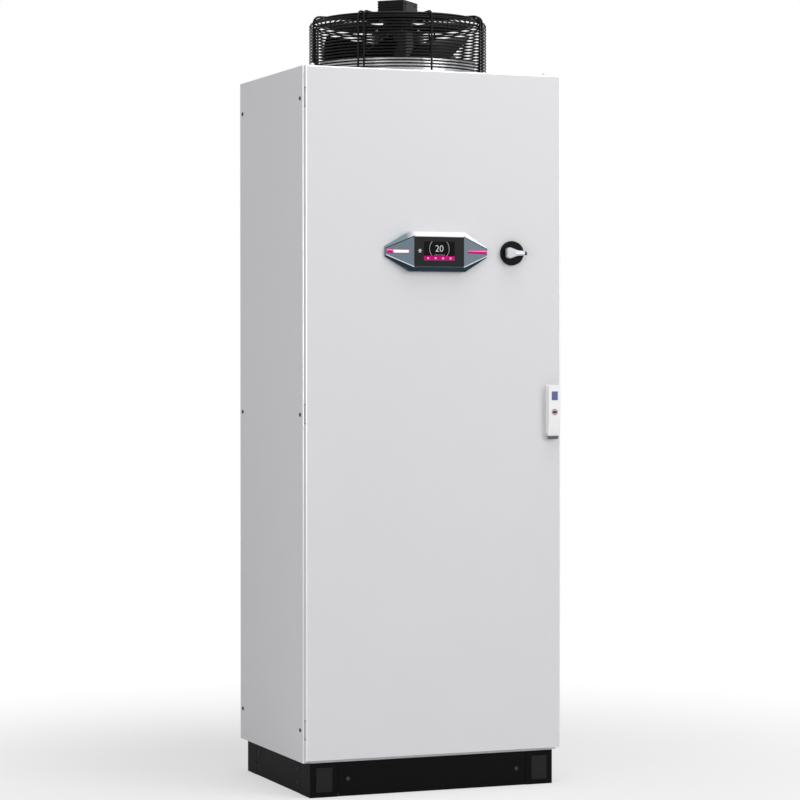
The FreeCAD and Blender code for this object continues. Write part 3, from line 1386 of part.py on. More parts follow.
def fan_rotor():
    """Return the motor can with its swept, twisted blades."""
    can = turned(
        [
            (0, ROTOR_BOTTOM_Z),
            (ROTOR_RADIUS - ROTOR_EDGE, ROTOR_BOTTOM_Z),
            (ROTOR_RADIUS, ROTOR_BOTTOM_Z + ROTOR_EDGE),
            (ROTOR_RADIUS, ROTOR_TOP_Z - ROTOR_EDGE),
            (ROTOR_RADIUS - ROTOR_EDGE, ROTOR_TOP_Z),
            (0, ROTOR_TOP_Z),
        ],
        0,
        FAN_Y,
        SHELL_SIDES,
    )
    blade = fan_blade()
    blades = []
    for i in range(BLADE_COUNT):
        copy = blade.copy()
        copy.rotate(Vector(0, FAN_Y, 0), UP, i * 360 / BLADE_COUNT)
        blades.append(copy)
    bore = cylinder(
        MOTOR_SHAFT_RADIUS + RUNNING_FIT,
        Vector(0, FAN_Y, SHAFT_END_Z - ROTOR_TOP_GAP),
        UP,
        ROTOR_TOP_Z - SHAFT_END_Z + ROTOR_TOP_GAP,
    )
    return can.multiFuse(blades).cut(bore)


# Condenser and partitions
BULKHEAD_TOP_Z = BULKHEAD_Z + PARTITION_SHEET
COIL_REAR_Y = FRAME_REAR_Y - COIL_REAR_GAP
COIL_FRONT_Y = COIL_REAR_Y - COIL_DEPTH
COIL_TOP_Z = TOP_RAIL_Z - COIL_TOP_GAP
HEADER_IN_Y = COIL_FRONT_Y + COIL_DEPTH / 4
HEADER_OUT_Y = COIL_REAR_Y - COIL_DEPTH / 4
HEADER_BOTTOM_Z = BULKHEAD_TOP_Z + HEADER_RADIUS * 5


def bulkhead():
    """Return the floor of the air chamber with holes for the two refrigerant lines."""
    sheet = box(
        (-INNER_X, INNER_X), (FRAME_FRONT_Y + DOOR_TO_FRAME, FRAME_REAR_Y), (BULKHEAD_Z, BULKHEAD_TOP_Z)
    )
    z_range = (BULKHEAD_Z, BULKHEAD_TOP_Z)
    holes = [
        post(DISCHARGE_RADIUS + PIPE_HOLE_GAP, HEADER_X, HEADER_IN_Y, z_range, PIPE_SIDES),
        post(LIQUID_RADIUS + PIPE_HOLE_GAP, HEADER_X, HEADER_OUT_Y, z_range, PIPE_SIDES),
    ]
    return sheet.cut(holes)


def condenser_coil():
    """Return the finned block between its two end plates."""
    x_left, x_right = -COIL_LEFT, COIL_RIGHT
    block = box(
        (x_left, x_right),
        (COIL_FRONT_Y + COIL_FIN_DEPTH, COIL_REAR_Y - COIL_FIN_DEPTH),
        (BULKHEAD_TOP_Z, COIL_TOP_Z),
    )
    plates = [block]
    count = int((x_right - x_left) / COIL_FIN_PITCH)
    pitch = (x_right - x_left - COIL_PLATE) / count
    for i in range(count + 1):
        x = x_left + i * pitch
        plates.append(box((x, x + COIL_PLATE), (COIL_FRONT_Y, COIL_REAR_Y), (BULKHEAD_TOP_Z, COIL_TOP_Z)))
    return joined(plates)


def condenser_header(y):
    """Return an upright copper header with short stubs into the coil."""
    top = COIL_TOP_Z - HEADER_RADIUS * 2
    pieces = [post(HEADER_RADIUS, HEADER_X, y, (HEADER_BOTTOM_Z, top), PIPE_SIDES)]
    step = (top - HEADER_BOTTOM_Z) / HEADER_STUBS
    for i in range(HEADER_STUBS):
        z = HEADER_BOTTOM_Z + step * (i + 0.5)
        pieces.append(prism(regular_polygon(STUB_RADIUS, PIPE_SIDES, (y, z)), "x", COIL_RIGHT, HEADER_X))
    return joined(pieces)


# Electrical compartment
TRAY_FRONT_Y = FRAME_FRONT_Y + DOOR_TO_FRAME
TRAY_BOTTOM_Z = BULKHEAD_TOP_Z
TRAY_TOP_Z = TRAY_BOTTOM_Z + TRAY_HEIGHT
TRAY_INNER_X = INNER_X - PARTITION_SHEET


def electrical_tray():
    """Return the open-fronted box whose back wall carries the devices."""
    outer = box((-INNER_X, INNER_X), (TRAY_FRONT_Y, TRAY_BACK_Y), (TRAY_BOTTOM_Z, TRAY_TOP_Z))
    inner = box(
        (-TRAY_INNER_X, TRAY_INNER_X),
        (TRAY_FRONT_Y, TRAY_FACE_Y),
        (TRAY_BOTTOM_Z + PARTITION_SHEET, TRAY_TOP_Z - PARTITION_SHEET),
    )
    return outer.cut(inner)


def plenum_cover():
    """Return the sheet that closes the front of the air chamber above the tray."""
    return box(
        (-INNER_X, INNER_X), (TRAY_FRONT_Y, TRAY_FRONT_Y + PARTITION_SHEET), (TRAY_TOP_Z, TOP_RAIL_Z)
    )


DUCT_LEVELS = [TRAY_BOTTOM_Z + TRAY_HEIGHT * part for part in (0.28, 0.6, 0.93)]
DUCT_HALF_X = TRAY_INNER_X - 1.2 * DUCT_WIDTH
INVERTER_X = -DUCT_HALF_X + DUCT_WIDTH / 2 + INVERTER_WIDTH / 2
GEAR_LEFT_X = INVERTER_X + INVERTER_WIDTH / 2 + DUCT_WIDTH / 2
GEAR_RIGHT_X = SWITCH_X - SWITCH_BODY_WIDTH / 2 - DUCT_WIDTH / 4


def wiring_ducts():
    """Return the open cable ducts, one per level and one along each side."""
    face = TRAY_FACE_Y - DUCT_DEPTH
    low = DUCT_LEVELS[0] - DUCT_WIDTH / 2
    high = DUCT_LEVELS[-1] + DUCT_WIDTH / 2
    left_end = -DUCT_HALF_X
    gear_ends = [
        (left_end, DUCT_HALF_X),
        (GEAR_LEFT_X, GEAR_RIGHT_X),
        (left_end, DUCT_HALF_X),
    ]
    ducts = []
    for z, (start, end) in zip(DUCT_LEVELS, gear_ends):
        outer = box((start, end), (face, TRAY_FACE_Y), around(z, DUCT_WIDTH))
        room = DUCT_WIDTH - 2 * DUCT_WALL
        ducts.append(outer.cut(box((start, end), (face, TRAY_FACE_Y - DUCT_WALL), around(z, room))))
    for side in (-1, 1):
        x = side * (DUCT_HALF_X + DUCT_WIDTH / 2 + SEAM)
        outer = box(around(x, DUCT_WIDTH), (face, TRAY_FACE_Y), (low, high))
        room = DUCT_WIDTH - 2 * DUCT_WALL
        ducts.append(outer.cut(box(around(x, room), (face, TRAY_FACE_Y - DUCT_WALL), (low, high))))
    return Part.makeCompound(ducts)


def inverter():
    """Return the inverter with its raised cover and cooling ribs."""
    z_low = (DUCT_LEVELS[0] + DUCT_LEVELS[2] - INVERTER_HEIGHT) / 2
    face = TRAY_FACE_Y - INVERTER_DEPTH
    body = box(around(INVERTER_X, INVERTER_WIDTH), (face, TRAY_FACE_Y), (z_low, z_low + INVERTER_HEIGHT))
    grooves = []
    pitch = INVERTER_WIDTH / (INVERTER_GROOVES + 1)
    depth = (face, face + INVERTER_DEPTH / 6)
    z_range = (z_low + INVERTER_HEIGHT * 0.86, z_low + INVERTER_HEIGHT)
    for i in range(INVERTER_GROOVES):
        x = INVERTER_X - INVERTER_WIDTH / 2 + pitch * (i + 1)
        grooves.append(box(around(x, pitch / 2), depth, z_range))
    return body.cut(grooves)


def device_row(x_range, z, width, height):
    """Return a mounting rail with a row of equal devices on it."""
    face = TRAY_FACE_Y - RAIL_DEPTH
    pieces = [box(x_range, (face, TRAY_FACE_Y), around(z, RAIL_HEIGHT))]
    count = int((x_range[1] - x_range[0]) / (width + SEAM))
    for i in range(count):
        x = x_range[0] + i * (width + SEAM)
        body = box((x, x + width), (face - DEVICE_DEPTH * 0.7, face), around(z, height))
        nose = box((x, x + width), (face - DEVICE_DEPTH, face), around(z, height / 2))
        pieces.append(body.fuse(nose).removeSplitter())
    return pieces


def control_gear():
    """Return the breakers, contactors and terminals, each row on its own rail, and the main switch."""
    pieces = []
    upper = (DUCT_LEVELS[1] + DUCT_LEVELS[2]) / 2
    lower = (DUCT_LEVELS[0] + DUCT_LEVELS[1]) / 2
    floor = (TRAY_BOTTOM_Z + DUCT_LEVELS[0]) / 2
    pieces += device_row((GEAR_LEFT_X, GEAR_RIGHT_X), upper, BREAKER_WIDTH, BREAKER_HEIGHT)
    pieces += device_row((GEAR_LEFT_X, DUCT_HALF_X), lower, CONTACTOR_WIDTH, CONTACTOR_HEIGHT)
    pieces += device_row((-DUCT_HALF_X, DUCT_HALF_X), floor, TERMINAL_WIDTH, TERMINAL_HEIGHT)
    return Part.makeCompound(pieces + [switch_body()])


# Cooling circuit
SHELL_BOTTOM_Z = BASE_TOP_Z + RUBBER_HEIGHT
SHELL_TOP_Z = SHELL_BOTTOM_Z + COMPRESSOR_PLATE + COMPRESSOR_HEIGHT
FOOT_HALF = COMPRESSOR_FOOT / 2
EVAPORATOR_BOTTOM_Z = BASE_TOP_Z + EVAPORATOR_STAND
EVAPORATOR_TOP_Z = EVAPORATOR_BOTTOM_Z + EVAPORATOR_HEIGHT
EVAPORATOR_RIGHT_X = EVAPORATOR_LEFT_X + EVAPORATOR_WIDTH
REFRIGERANT_Y = EVAPORATOR_FRONT_Y + EVAPORATOR_DEPTH / 4
WATER_Y = EVAPORATOR_FRONT_Y + EVAPORATOR_DEPTH * 3 / 4
UPPER_PORT_Z = EVAPORATOR_TOP_Z - PORT_INSET
LOWER_PORT_Z = EVAPORATOR_BOTTOM_Z + PORT_INSET


def compressor():
    """Return the domed shell on its foot plate with the terminal box."""
    low = SHELL_BOTTOM_Z + COMPRESSOR_PLATE
    dome = COMPRESSOR_RADIUS / 3
    shell = turned(
        [
            (0, low),
            (COMPRESSOR_RADIUS * 0.8, low),
            (COMPRESSOR_RADIUS, low + dome),
            (COMPRESSOR_RADIUS, SHELL_TOP_Z - dome),
            (COMPRESSOR_RADIUS * 0.75, SHELL_TOP_Z - dome / 3),
            (COMPRESSOR_RADIUS * 0.4, SHELL_TOP_Z),
            (0, SHELL_TOP_Z),
        ],
        COMPRESSOR_X,
        COMPRESSOR_Y,
        SHELL_SIDES,
    )
    foot = box(
        around(COMPRESSOR_X, COMPRESSOR_FOOT), around(COMPRESSOR_Y, COMPRESSOR_FOOT), (SHELL_BOTTOM_Z, low)
    )
    terminal = box(
        around(COMPRESSOR_X, COMPRESSOR_BOX),
        (COMPRESSOR_Y - COMPRESSOR_RADIUS - COMPRESSOR_BOX / 3, COMPRESSOR_Y - COMPRESSOR_RADIUS / 2),
        around((low + SHELL_TOP_Z) / 2, COMPRESSOR_BOX),
    )
    return joined([shell, foot, terminal])


def compressor_feet():
    reach = FOOT_HALF - RUBBER_RADIUS - COMPRESSOR_PLATE
    return Part.makeCompound(
        [
            post(
                RUBBER_RADIUS,
                COMPRESSOR_X + side * reach,
                COMPRESSOR_Y + end * reach,
                (BASE_TOP_Z, SHELL_BOTTOM_Z),
                SCREW_SIDES,
            )
            for side, end in CORNERS
        ]
    )


def evaporator():
    """Return the insulated plate heat exchanger on its stand."""
    x_range = (EVAPORATOR_LEFT_X, EVAPORATOR_RIGHT_X)
    y_range = (EVAPORATOR_FRONT_Y, EVAPORATOR_FRONT_Y + EVAPORATOR_DEPTH)
    body = box(x_range, y_range, (EVAPORATOR_BOTTOM_Z, EVAPORATOR_TOP_Z))
    body = rounded(body, EVAPORATOR_CORNER, UP)
    stand_inset = EVAPORATOR_CORNER
    stand = box(
        (x_range[0] + stand_inset, x_range[1] - stand_inset),
        (y_range[0] + stand_inset, y_range[1] - stand_inset),
        (BASE_TOP_Z, EVAPORATOR_BOTTOM_Z),
    )
    return joined([body, stand])


DRIER_BOTTOM_Z = DRIER_TOP_Z - DRIER_LENGTH


def filter_drier():
    """Return the cartridge with coned ends in the liquid line."""
    cone = DRIER_LENGTH / 6
    profile = [
        (0, DRIER_BOTTOM_Z),
        (LIQUID_RADIUS, DRIER_BOTTOM_Z),
        (DRIER_RADIUS, DRIER_BOTTOM_Z + cone),
        (DRIER_RADIUS, DRIER_TOP_Z - cone),
        (LIQUID_RADIUS, DRIER_TOP_Z),
        (0, DRIER_TOP_Z),
    ]
    return turned(profile, HEADER_X, HEADER_OUT_Y, PIPE_SIDES * 2)


def refrigerant_lines():
    """Return the discharge, liquid and suction lines with the drier in the liquid line."""
    discharge = pipe(
        [
            (COMPRESSOR_X, COMPRESSOR_Y, SHELL_TOP_Z),
            (COMPRESSOR_X, COMPRESSOR_Y, DISCHARGE_LEVEL_Z),
            (HEADER_X, COMPRESSOR_Y, DISCHARGE_LEVEL_Z),
            (HEADER_X, HEADER_IN_Y, DISCHARGE_LEVEL_Z),
            (HEADER_X, HEADER_IN_Y, HEADER_BOTTOM_Z),
        ],
        DISCHARGE_RADIUS,
    )
    liquid_top = post(
        LIQUID_RADIUS, HEADER_X, HEADER_OUT_Y, (DRIER_TOP_Z, HEADER_BOTTOM_Z), PIPE_SIDES
    )
    liquid_bottom = pipe(
        [
            (HEADER_X, HEADER_OUT_Y, DRIER_BOTTOM_Z),
            (HEADER_X, HEADER_OUT_Y, LOWER_PORT_Z),
            (HEADER_X, REFRIGERANT_Y, LOWER_PORT_Z),
            (EVAPORATOR_RIGHT_X, REFRIGERANT_Y, LOWER_PORT_Z),
        ],
        LIQUID_RADIUS,
    )
    suction = pipe(
        [
            (EVAPORATOR_RIGHT_X, REFRIGERANT_Y, UPPER_PORT_Z),
            (COMPRESSOR_X, REFRIGERANT_Y, UPPER_PORT_Z),
            (COMPRESSOR_X, REFRIGERANT_Y, SUCTION_INLET_Z),
            (COMPRESSOR_X, COMPRESSOR_Y + COMPRESSOR_RADIUS, SUCTION_INLET_Z),
        ],
        SUCTION_RADIUS,
    )
    return Part.makeCompound([discharge, liquid_top, filter_drier(), liquid_bottom, suction])


# Water circuit
TANK_BOTTOM_Z = BASE_TOP_Z + TANK_FEET
TANK_TOP_Z = TANK_BOTTOM_Z + TANK_HEIGHT
TANK_X = TANK_RIGHT_X - TANK_WIDTH / 2
FILLER_Y = TANK_FRONT_Y + TANK_DEPTH / 4


def tank():
    """Return the closed, filled water tank on two feet with its filler neck."""
    x_range = (TANK_LEFT_X, TANK_RIGHT_X)
    y_range = (TANK_FRONT_Y, TANK_FRONT_Y + TANK_DEPTH)
    body = rounded(box(x_range, y_range, (TANK_BOTTOM_Z, TANK_TOP_Z)), TANK_CORNER, UP)
    feet = [
        box(around(TANK_X + side * TANK_WIDTH / 4, TANK_FEET * 2), y_range, (BASE_TOP_Z, TANK_BOTTOM_Z))
        for side in (-1, 1)
    ]
    neck = cylinder(FILLER_RADIUS, Vector(TANK_X, FILLER_Y, TANK_TOP_Z), UP, FILLER_HEIGHT)
    return joined([body, neck] + feet)


def tank_cap():
    """Return the turning cap that fits over the filler neck."""
    inner = FILLER_RADIUS + MOVING_GAP
    outer = inner + CAP_WALL
    inside_top = TANK_TOP_Z + FILLER_HEIGHT + MOVING_GAP
    cover = inside_top + CAP_WALL
    rim = cover - CAP_HEIGHT
    body = post(outer, TANK_X, FILLER_Y, (rim, cover), SHELL_SIDES)
    room = cylinder(inner, Vector(TANK_X, FILLER_Y, rim), UP, inside_top - rim)
    grip = box(
        around(TANK_X, outer * 1.6), around(FILLER_Y, CAP_WALL * 2), (cover, cover + CAP_WALL * 2)
    )
    return joined([body, grip]).cut(room)


PUMP_BOTTOM_Z = BASE_TOP_Z + PUMP_FOOT_HEIGHT
PUMP_TOP_Z = PUMP_BOTTOM_Z + PUMP_HEIGHT
PUMP_MOTOR_Z = PUMP_TOP_Z + PUMP_NECK


def pump():
    """Return the pump casing with its square foot and the motor lantern."""
    foot = box(around(PUMP_X, PUMP_FOOT), around(PUMP_Y, PUMP_FOOT), (BASE_TOP_Z, PUMP_BOTTOM_Z))
    casing = turned(
        [
            (0, PUMP_BOTTOM_Z),
            (PUMP_RADIUS, PUMP_BOTTOM_Z),
            (PUMP_RADIUS, PUMP_TOP_Z - PUMP_NECK),
            (PUMP_RADIUS * 1.1, PUMP_TOP_Z - PUMP_NECK),
            (PUMP_RADIUS * 1.1, PUMP_TOP_Z),
            (PUMP_RADIUS * 0.7, PUMP_TOP_Z),
            (PUMP_RADIUS * 0.7, PUMP_MOTOR_Z),
            (0, PUMP_MOTOR_Z),
        ],
        PUMP_X,
        PUMP_Y,
        SHELL_SIDES,
    )
    return joined([foot, casing])


def pump_motor():
    """Return the motor with its terminal box and fan cover."""
    cover = MOTOR_HEIGHT / 5
    top = PUMP_MOTOR_Z + MOTOR_HEIGHT
    body = turned(
        [
            (0, PUMP_MOTOR_Z),
            (MOTOR_RADIUS, PUMP_MOTOR_Z),
            (MOTOR_RADIUS, top - cover),
            (MOTOR_RADIUS * 1.04, top - cover),
            (MOTOR_RADIUS * 1.04, top - cover / 4),
            (MOTOR_RADIUS * 0.9, top),
            (0, top),
        ],
        PUMP_X,
        PUMP_Y,
        SHELL_SIDES,
    )
    terminal = box(
        around(PUMP_X, MOTOR_BOX_SIZE),
        (PUMP_Y - MOTOR_RADIUS - MOTOR_BOX_SIZE / 3, PUMP_Y),
        around(PUMP_MOTOR_Z + MOTOR_HEIGHT * 0.4, MOTOR_BOX_SIZE),
    )
    return joined([body, terminal])


def water_lines():
    """Return the return, tank, suction and delivery pipes."""
    rear_end = FRAME_REAR_Y
    back = pipe(
        [
            (WATER_INLET_X, rear_end, WATER_INLET_Z),
            (WATER_INLET_X, WATER_Y, WATER_INLET_Z),
            (EVAPORATOR_RIGHT_X, WATER_Y, WATER_INLET_Z),
        ],
        WATER_RADIUS,
    )
    tank_section = regular_polygon(WATER_RADIUS, PIPE_SIDES, (WATER_Y, LOWER_PORT_Z))
    to_tank = prism(tank_section, "x", TANK_RIGHT_X, EVAPORATOR_LEFT_X)
    pump_section = regular_polygon(WATER_RADIUS, PIPE_SIDES, (PUMP_X, TANK_OUTLET_Z))
    to_pump = prism(pump_section, "y", PUMP_Y + PUMP_RADIUS, TANK_FRONT_Y)
    delivery = pipe(
        [
            (PUMP_X + PUMP_RADIUS, PUMP_Y, WATER_OUTLET_Z),
            (WATER_OUTLET_X, PUMP_Y, WATER_OUTLET_Z),
            (WATER_OUTLET_X, rear_end, WATER_OUTLET_Z),
        ],
        WATER_RADIUS,
    )
    return Part.makeCompound([back, to_tank, to_pump, delivery])


def group(shapes):
    return Part.makeCompound(list(shapes))


NODES = {
    "plinth_corners": group(plinth_corner(*corner) for corner in CORNERS),
    "plinth_end_trims": group(end_trim(end) for end in (-1, 1)),
    "plinth_side_trims": group(side_trim(side) for side in (-1, 1)),
    "plinth_corner_plates": group(corner_plate(*corner) for corner in CORNERS),
    "frame_posts": group(frame_post(*corner) for corner in CORNERS),
    "frame_rails": frame_rails(),
    "base_plate": base_plate(),
    "roof_plate": roof_plate(),
    "roof_bolts": group(roof_bolt(*corner) for corner in CORNERS),
    "side_panel_left": side_panel(-1),
    "side_panel_right": side_panel(1),
    "panel_screws": panel_screws(),
    "rear_panel": rear_panel(),
    "rear_grille": rear_grille(),
    "water_ports": group(water_port(x, z) for x, z in WATER_PORTS),
    "cable_glands": group(cable_gland(x, z) for x, z in GLANDS),
    "hinge_brackets": group(hinge_bracket(z) for z in HINGE_LEVELS),
    "hinge_pins": group(hinge_pin(z) for z in HINGE_LEVELS),
    "door_knuckles": group(hinge_knuckle(z) for z in HINGE_LEVELS),
    "door_panel": door_panel(),
    "door_stiffeners": door_stiffeners(),
    "door_gasket": door_gasket(),
    "panel_housing": panel_housing(),
    "panel_glass": panel_glass(),
    "panel_light_bars": group(light_bar(side, 0) for side in (-1, 1)),
    "switch_rosette": switch_rosette(),
    "switch_knob": switch_knob(),
    "switch_grip": switch_grip(),
    "switch_shaft": switch_shaft(),
    "handle_base": handle_base(),
    "handle_hub": handle_hub(),
    "handle_lever": handle_lever(),
    "lever_pin": lever_pin(),
    "lock_insert": lock_insert(),
    "lock_case": lock_case(),
    "lock_pinion": lock_pinion(),
    "lock_rod_upper": lock_rod(1, UPPER_ROD_END),
    "lock_rod_lower": lock_rod(-1, LOWER_ROD_END),
    "lock_keepers": group(
        [
            lock_keeper(1, (KEEPER_TOP_Z - KEEPER_HEIGHT, KEEPER_TOP_Z)),
            lock_keeper(-1, (KEEPER_BOTTOM_Z, KEEPER_BOTTOM_Z + KEEPER_HEIGHT)),
        ]
    ),
    "rod_guides": rod_guides(),
    "nozzle_ring": nozzle_ring(),
    "fan_guard": fan_guard(),
    "fan_motor": fan_motor(),
    "fan_rotor": fan_rotor(),
    "partitions": group([bulkhead(), plenum_cover()]),
    "condenser_coil": condenser_coil(),
    "condenser_headers": group(condenser_header(y) for y in (HEADER_IN_Y, HEADER_OUT_Y)),
    "electrical_tray": electrical_tray(),
    "wiring_ducts": wiring_ducts(),
    "inverter": inverter(),
    "control_gear": control_gear(),
    "compressor": compressor(),
    "compressor_feet": compressor_feet(),
    "evaporator": evaporator(),
    "refrigerant_lines": refrigerant_lines(),
    "tank": tank(),
    "tank_cap": tank_cap(),
    "pump": pump(),
    "pump_motor": pump_motor(),
    "water_lines": water_lines(),
}

os.makedirs("parts", exist_ok=True)
for name, shape in NODES.items():
    shape.exportStep("parts/" + name + ".step")
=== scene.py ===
import json
import math

import bmesh
import bpy
from mathutils import Matrix, Vector

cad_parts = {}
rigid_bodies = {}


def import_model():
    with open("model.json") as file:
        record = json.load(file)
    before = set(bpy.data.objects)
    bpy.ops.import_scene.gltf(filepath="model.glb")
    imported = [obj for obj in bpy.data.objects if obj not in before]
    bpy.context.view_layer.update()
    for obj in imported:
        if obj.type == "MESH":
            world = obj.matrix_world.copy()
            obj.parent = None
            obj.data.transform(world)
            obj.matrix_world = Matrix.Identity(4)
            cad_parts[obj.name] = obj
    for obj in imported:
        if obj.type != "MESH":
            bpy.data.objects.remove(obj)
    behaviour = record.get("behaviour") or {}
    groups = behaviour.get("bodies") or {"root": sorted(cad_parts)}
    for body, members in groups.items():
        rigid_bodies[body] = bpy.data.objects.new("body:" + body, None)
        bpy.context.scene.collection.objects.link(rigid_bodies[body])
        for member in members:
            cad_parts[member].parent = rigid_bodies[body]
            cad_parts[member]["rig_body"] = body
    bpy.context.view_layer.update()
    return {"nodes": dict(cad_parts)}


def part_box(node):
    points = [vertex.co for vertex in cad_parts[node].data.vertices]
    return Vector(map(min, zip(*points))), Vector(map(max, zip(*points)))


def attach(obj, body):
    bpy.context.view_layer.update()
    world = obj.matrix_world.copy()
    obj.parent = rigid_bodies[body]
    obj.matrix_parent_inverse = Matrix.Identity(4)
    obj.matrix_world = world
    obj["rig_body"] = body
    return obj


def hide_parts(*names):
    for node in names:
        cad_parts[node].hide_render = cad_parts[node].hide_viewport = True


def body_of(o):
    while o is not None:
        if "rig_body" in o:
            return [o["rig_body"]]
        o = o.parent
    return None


bl_info = {
    "name": "Cabinet chiller",
    "version": (1, 0, 0),
    "blender": (4, 5, 0),
    "location": "View3D > Sidebar > Chiller",
    "description": "Dresses the packed cabinet chiller and sets up its studio",
    "category": "Object",
}

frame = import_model()

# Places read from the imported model, in metres
DOOR_LOW, DOOR_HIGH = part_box("door_panel")
GUARD_LOW, GUARD_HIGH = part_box("fan_guard")
NOZZLE_LOW, NOZZLE_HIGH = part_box("nozzle_ring")
HOUSING_LOW, HOUSING_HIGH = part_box("panel_housing")
GLASS_LOW, GLASS_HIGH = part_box("panel_glass")
ROSETTE_LOW, ROSETTE_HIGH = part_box("switch_rosette")
KNOB_LOW, KNOB_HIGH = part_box("switch_knob")
GRIP_LOW, GRIP_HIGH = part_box("switch_grip")
LEVER_LOW, LEVER_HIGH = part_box("handle_lever")
INSERT_LOW, INSERT_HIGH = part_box("lock_insert")
ROTOR_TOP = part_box("fan_rotor")[1].z
ROOF_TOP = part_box("roof_plate")[1].z
REAR_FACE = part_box("rear_panel")[1].y
DOOR_FACE = DOOR_LOW.y
FAN_Y = (GUARD_LOW.y + GUARD_HIGH.y) / 2
PANEL_Z = (HOUSING_LOW.z + HOUSING_HIGH.z) / 2
SWITCH_X = (ROSETTE_LOW.x + ROSETTE_HIGH.x) / 2
HANDLE_X = (LEVER_LOW.x + LEVER_HIGH.x) / 2

# Distance below which two corners count as one
MERGE = 1e-6


# Kinds of settings
def colour(name, description, default):
    return bpy.props.FloatVectorProperty(
        name=name, description=description, subtype="COLOR", default=default
    )


def length(name, description, default):
    return bpy.props.FloatProperty(name=name, description=description, default=default, unit="LENGTH")


def angle(name, description, degrees):
    return bpy.props.FloatProperty(
        name=name, description=description, default=math.radians(degrees), unit="ROTATION"
    )


def amount(name, description, default):
    return bpy.props.FloatProperty(name=name, description=description, default=default)


class CoatSettings(bpy.types.PropertyGroup):
    """Colours of the coated and moulded surfaces."""

    cabinet: colour("Cabinet", "Textured coat of the panels and the door", (0.69, 0.688, 0.713))
    plinth: colour("Plinth", "Coat of the plinth", (0.004, 0.004, 0.0045))
    slate: colour("Panel housing", "Satin face of the operating panel", (0.155, 0.205, 0.25))
    accent: colour("Accent light", "Light bars and the lower bar of the display", (0.42, 0.003, 0.135))
    # Near-white colour of the rounded folds: a painted highlight along the edges.
    fold_coat: colour("Folds", "Thin, brighter coat along the folds", (0.9, 0.9, 0.91))
    fold: length("Fold", "Outer radius of the folded sheet edges", 0.0065)
    grain: bpy.props.FloatProperty(
        name="Grain", description="Grains of the textured coat per metre", default=620.0, min=1.0
    )


class FanSettings(bpy.types.PropertyGroup):
    """Sizes of the roof fan."""

    wire: length("Wire", "Thickness of the guard wire", 0.0048)
    rib: length("Rib", "Thickness of the guard ribs", 0.006)
    ring_pitch: length("Ring pitch", "Distance between the side rings", 0.009)
    top_pitch: length("Top pitch", "Distance between the top rings", 0.0135)
    shoulder: length("Shoulder", "Bend of the guard ribs", 0.02)
    pair_gap: length("Pair gap", "Distance between two paired ribs", 0.018)
    root_chord: length("Root chord", "Width of a blade at the motor can", 0.096)
    tip_chord: length("Tip chord", "Width of a blade at its tip", 0.2)
    root_pitch: angle("Root pitch", "Slope of a blade at the motor can", 46.0)
    tip_pitch: angle("Tip pitch", "Slope of a blade at its tip", 34.0)
    lean: angle("Lean", "How far a blade's tip is swept forward", 14.0)
    camber: length("Camber", "Height of a blade's hollow", 0.009)
    blades: bpy.props.IntProperty(name="Blades", description="Number of fan blades", default=5, min=2)


class PanelSettings(bpy.types.PropertyGroup):
    """What the operating panel shows and how it is shaped."""

    value: bpy.props.IntProperty(name="Value", description="Number on the display, in degrees", default=20)
    level: length("Level edge", "Half the length of the housing's level edges", 0.086)
    tip: length("Tip", "Half the height of a wing's tip", 0.015)
    bevel: length("Bevel", "Width of the slanted rim", 0.0135)
    rim_depth: length("Rim depth", "How far the slanted rim falls back", 0.006)
    tip_drop: length("Tip drop", "How far the wings fall back", 0.016)
    tip_bevel: length("Tip bevel", "Width of the rim at the tips", 0.005)
    screen_width: length("Screen width", "Width of the lit screen", 0.0958)
    screen_height: length("Screen height", "Height of the lit screen", 0.0546)
    bar_height: length("Bar height", "Height of the screen's lower bar", 0.0126)


class StageSettings(bpy.types.PropertyGroup):
    """Studio light and camera."""

    azimuth: angle("Azimuth", "Camera's turn round the object", -21.63)
    distance: length("Distance", "Camera's distance from the axis", 8.072)
    height: length("Height", "Camera's height", 1.25)
    pan: angle("Pan", "Turn of the view to the side", -0.05)
    tilt: angle("Tilt", "Turn of the view upwards", -0.8)
    lens: amount("Lens", "Focal length in millimetres on a 36 mm frame", 120.6)
    key_power: amount("Key light", "Power of the large lamp at the front right", 134.0)
    fill_power: amount("Fill light", "Power of the lamp at the left", 50.0)
    top_power: amount("Top light", "Power of the lamp above the front", 52.0)
    ambient: amount("Ambient", "Strength of the light from all round", 0.42)


# Shader parts
def new_group(name, inputs, outputs):
    """Return a shader node group with named sockets, and its input and output nodes."""
    group = bpy.data.node_groups.new(name, "ShaderNodeTree")
    for label, kind, value in inputs:
        socket = group.interface.new_socket(label, in_out="INPUT", socket_type=kind)
        socket.default_value = value
    for label, kind in outputs:
        group.interface.new_socket(label, in_out="OUTPUT", socket_type=kind)
    return group, group.nodes.new("NodeGroupInput"), group.nodes.new("NodeGroupOutput")


def set_input(tree, socket, value):
    """Link a socket to another node's output, or give it a plain value."""
    if isinstance(value, bpy.types.NodeSocket):
        tree.links.new(value, socket)
    else:
        socket.default_value = value


def calculate(tree, operation, first, second):
    """Return the result of a math node."""
    node = tree.nodes.new("ShaderNodeMath")
    node.operation = operation
    set_input(tree, node.inputs[0], first)
    set_input(tree, node.inputs[1], second)
    return node.outputs[0]


def noise(tree, vector, scale, detail):
    """Return the value of a noise texture."""
    node = tree.nodes.new("ShaderNodeTexNoise")
    node.inputs["Detail"].default_value = detail
    set_input(tree, node.inputs["Scale"], scale)
    tree.links.new(vector, node.inputs["Vector"])
    return node.outputs[0]


def tinted(tree, color, factor):
    """Return a colour scaled by a factor."""
    node = tree.nodes.new("ShaderNodeVectorMath")
    node.operation = "SCALE"
    tree.links.new(color, node.inputs[0])
    tree.links.new(factor, node.inputs["Scale"])
    return node.outputs[0]


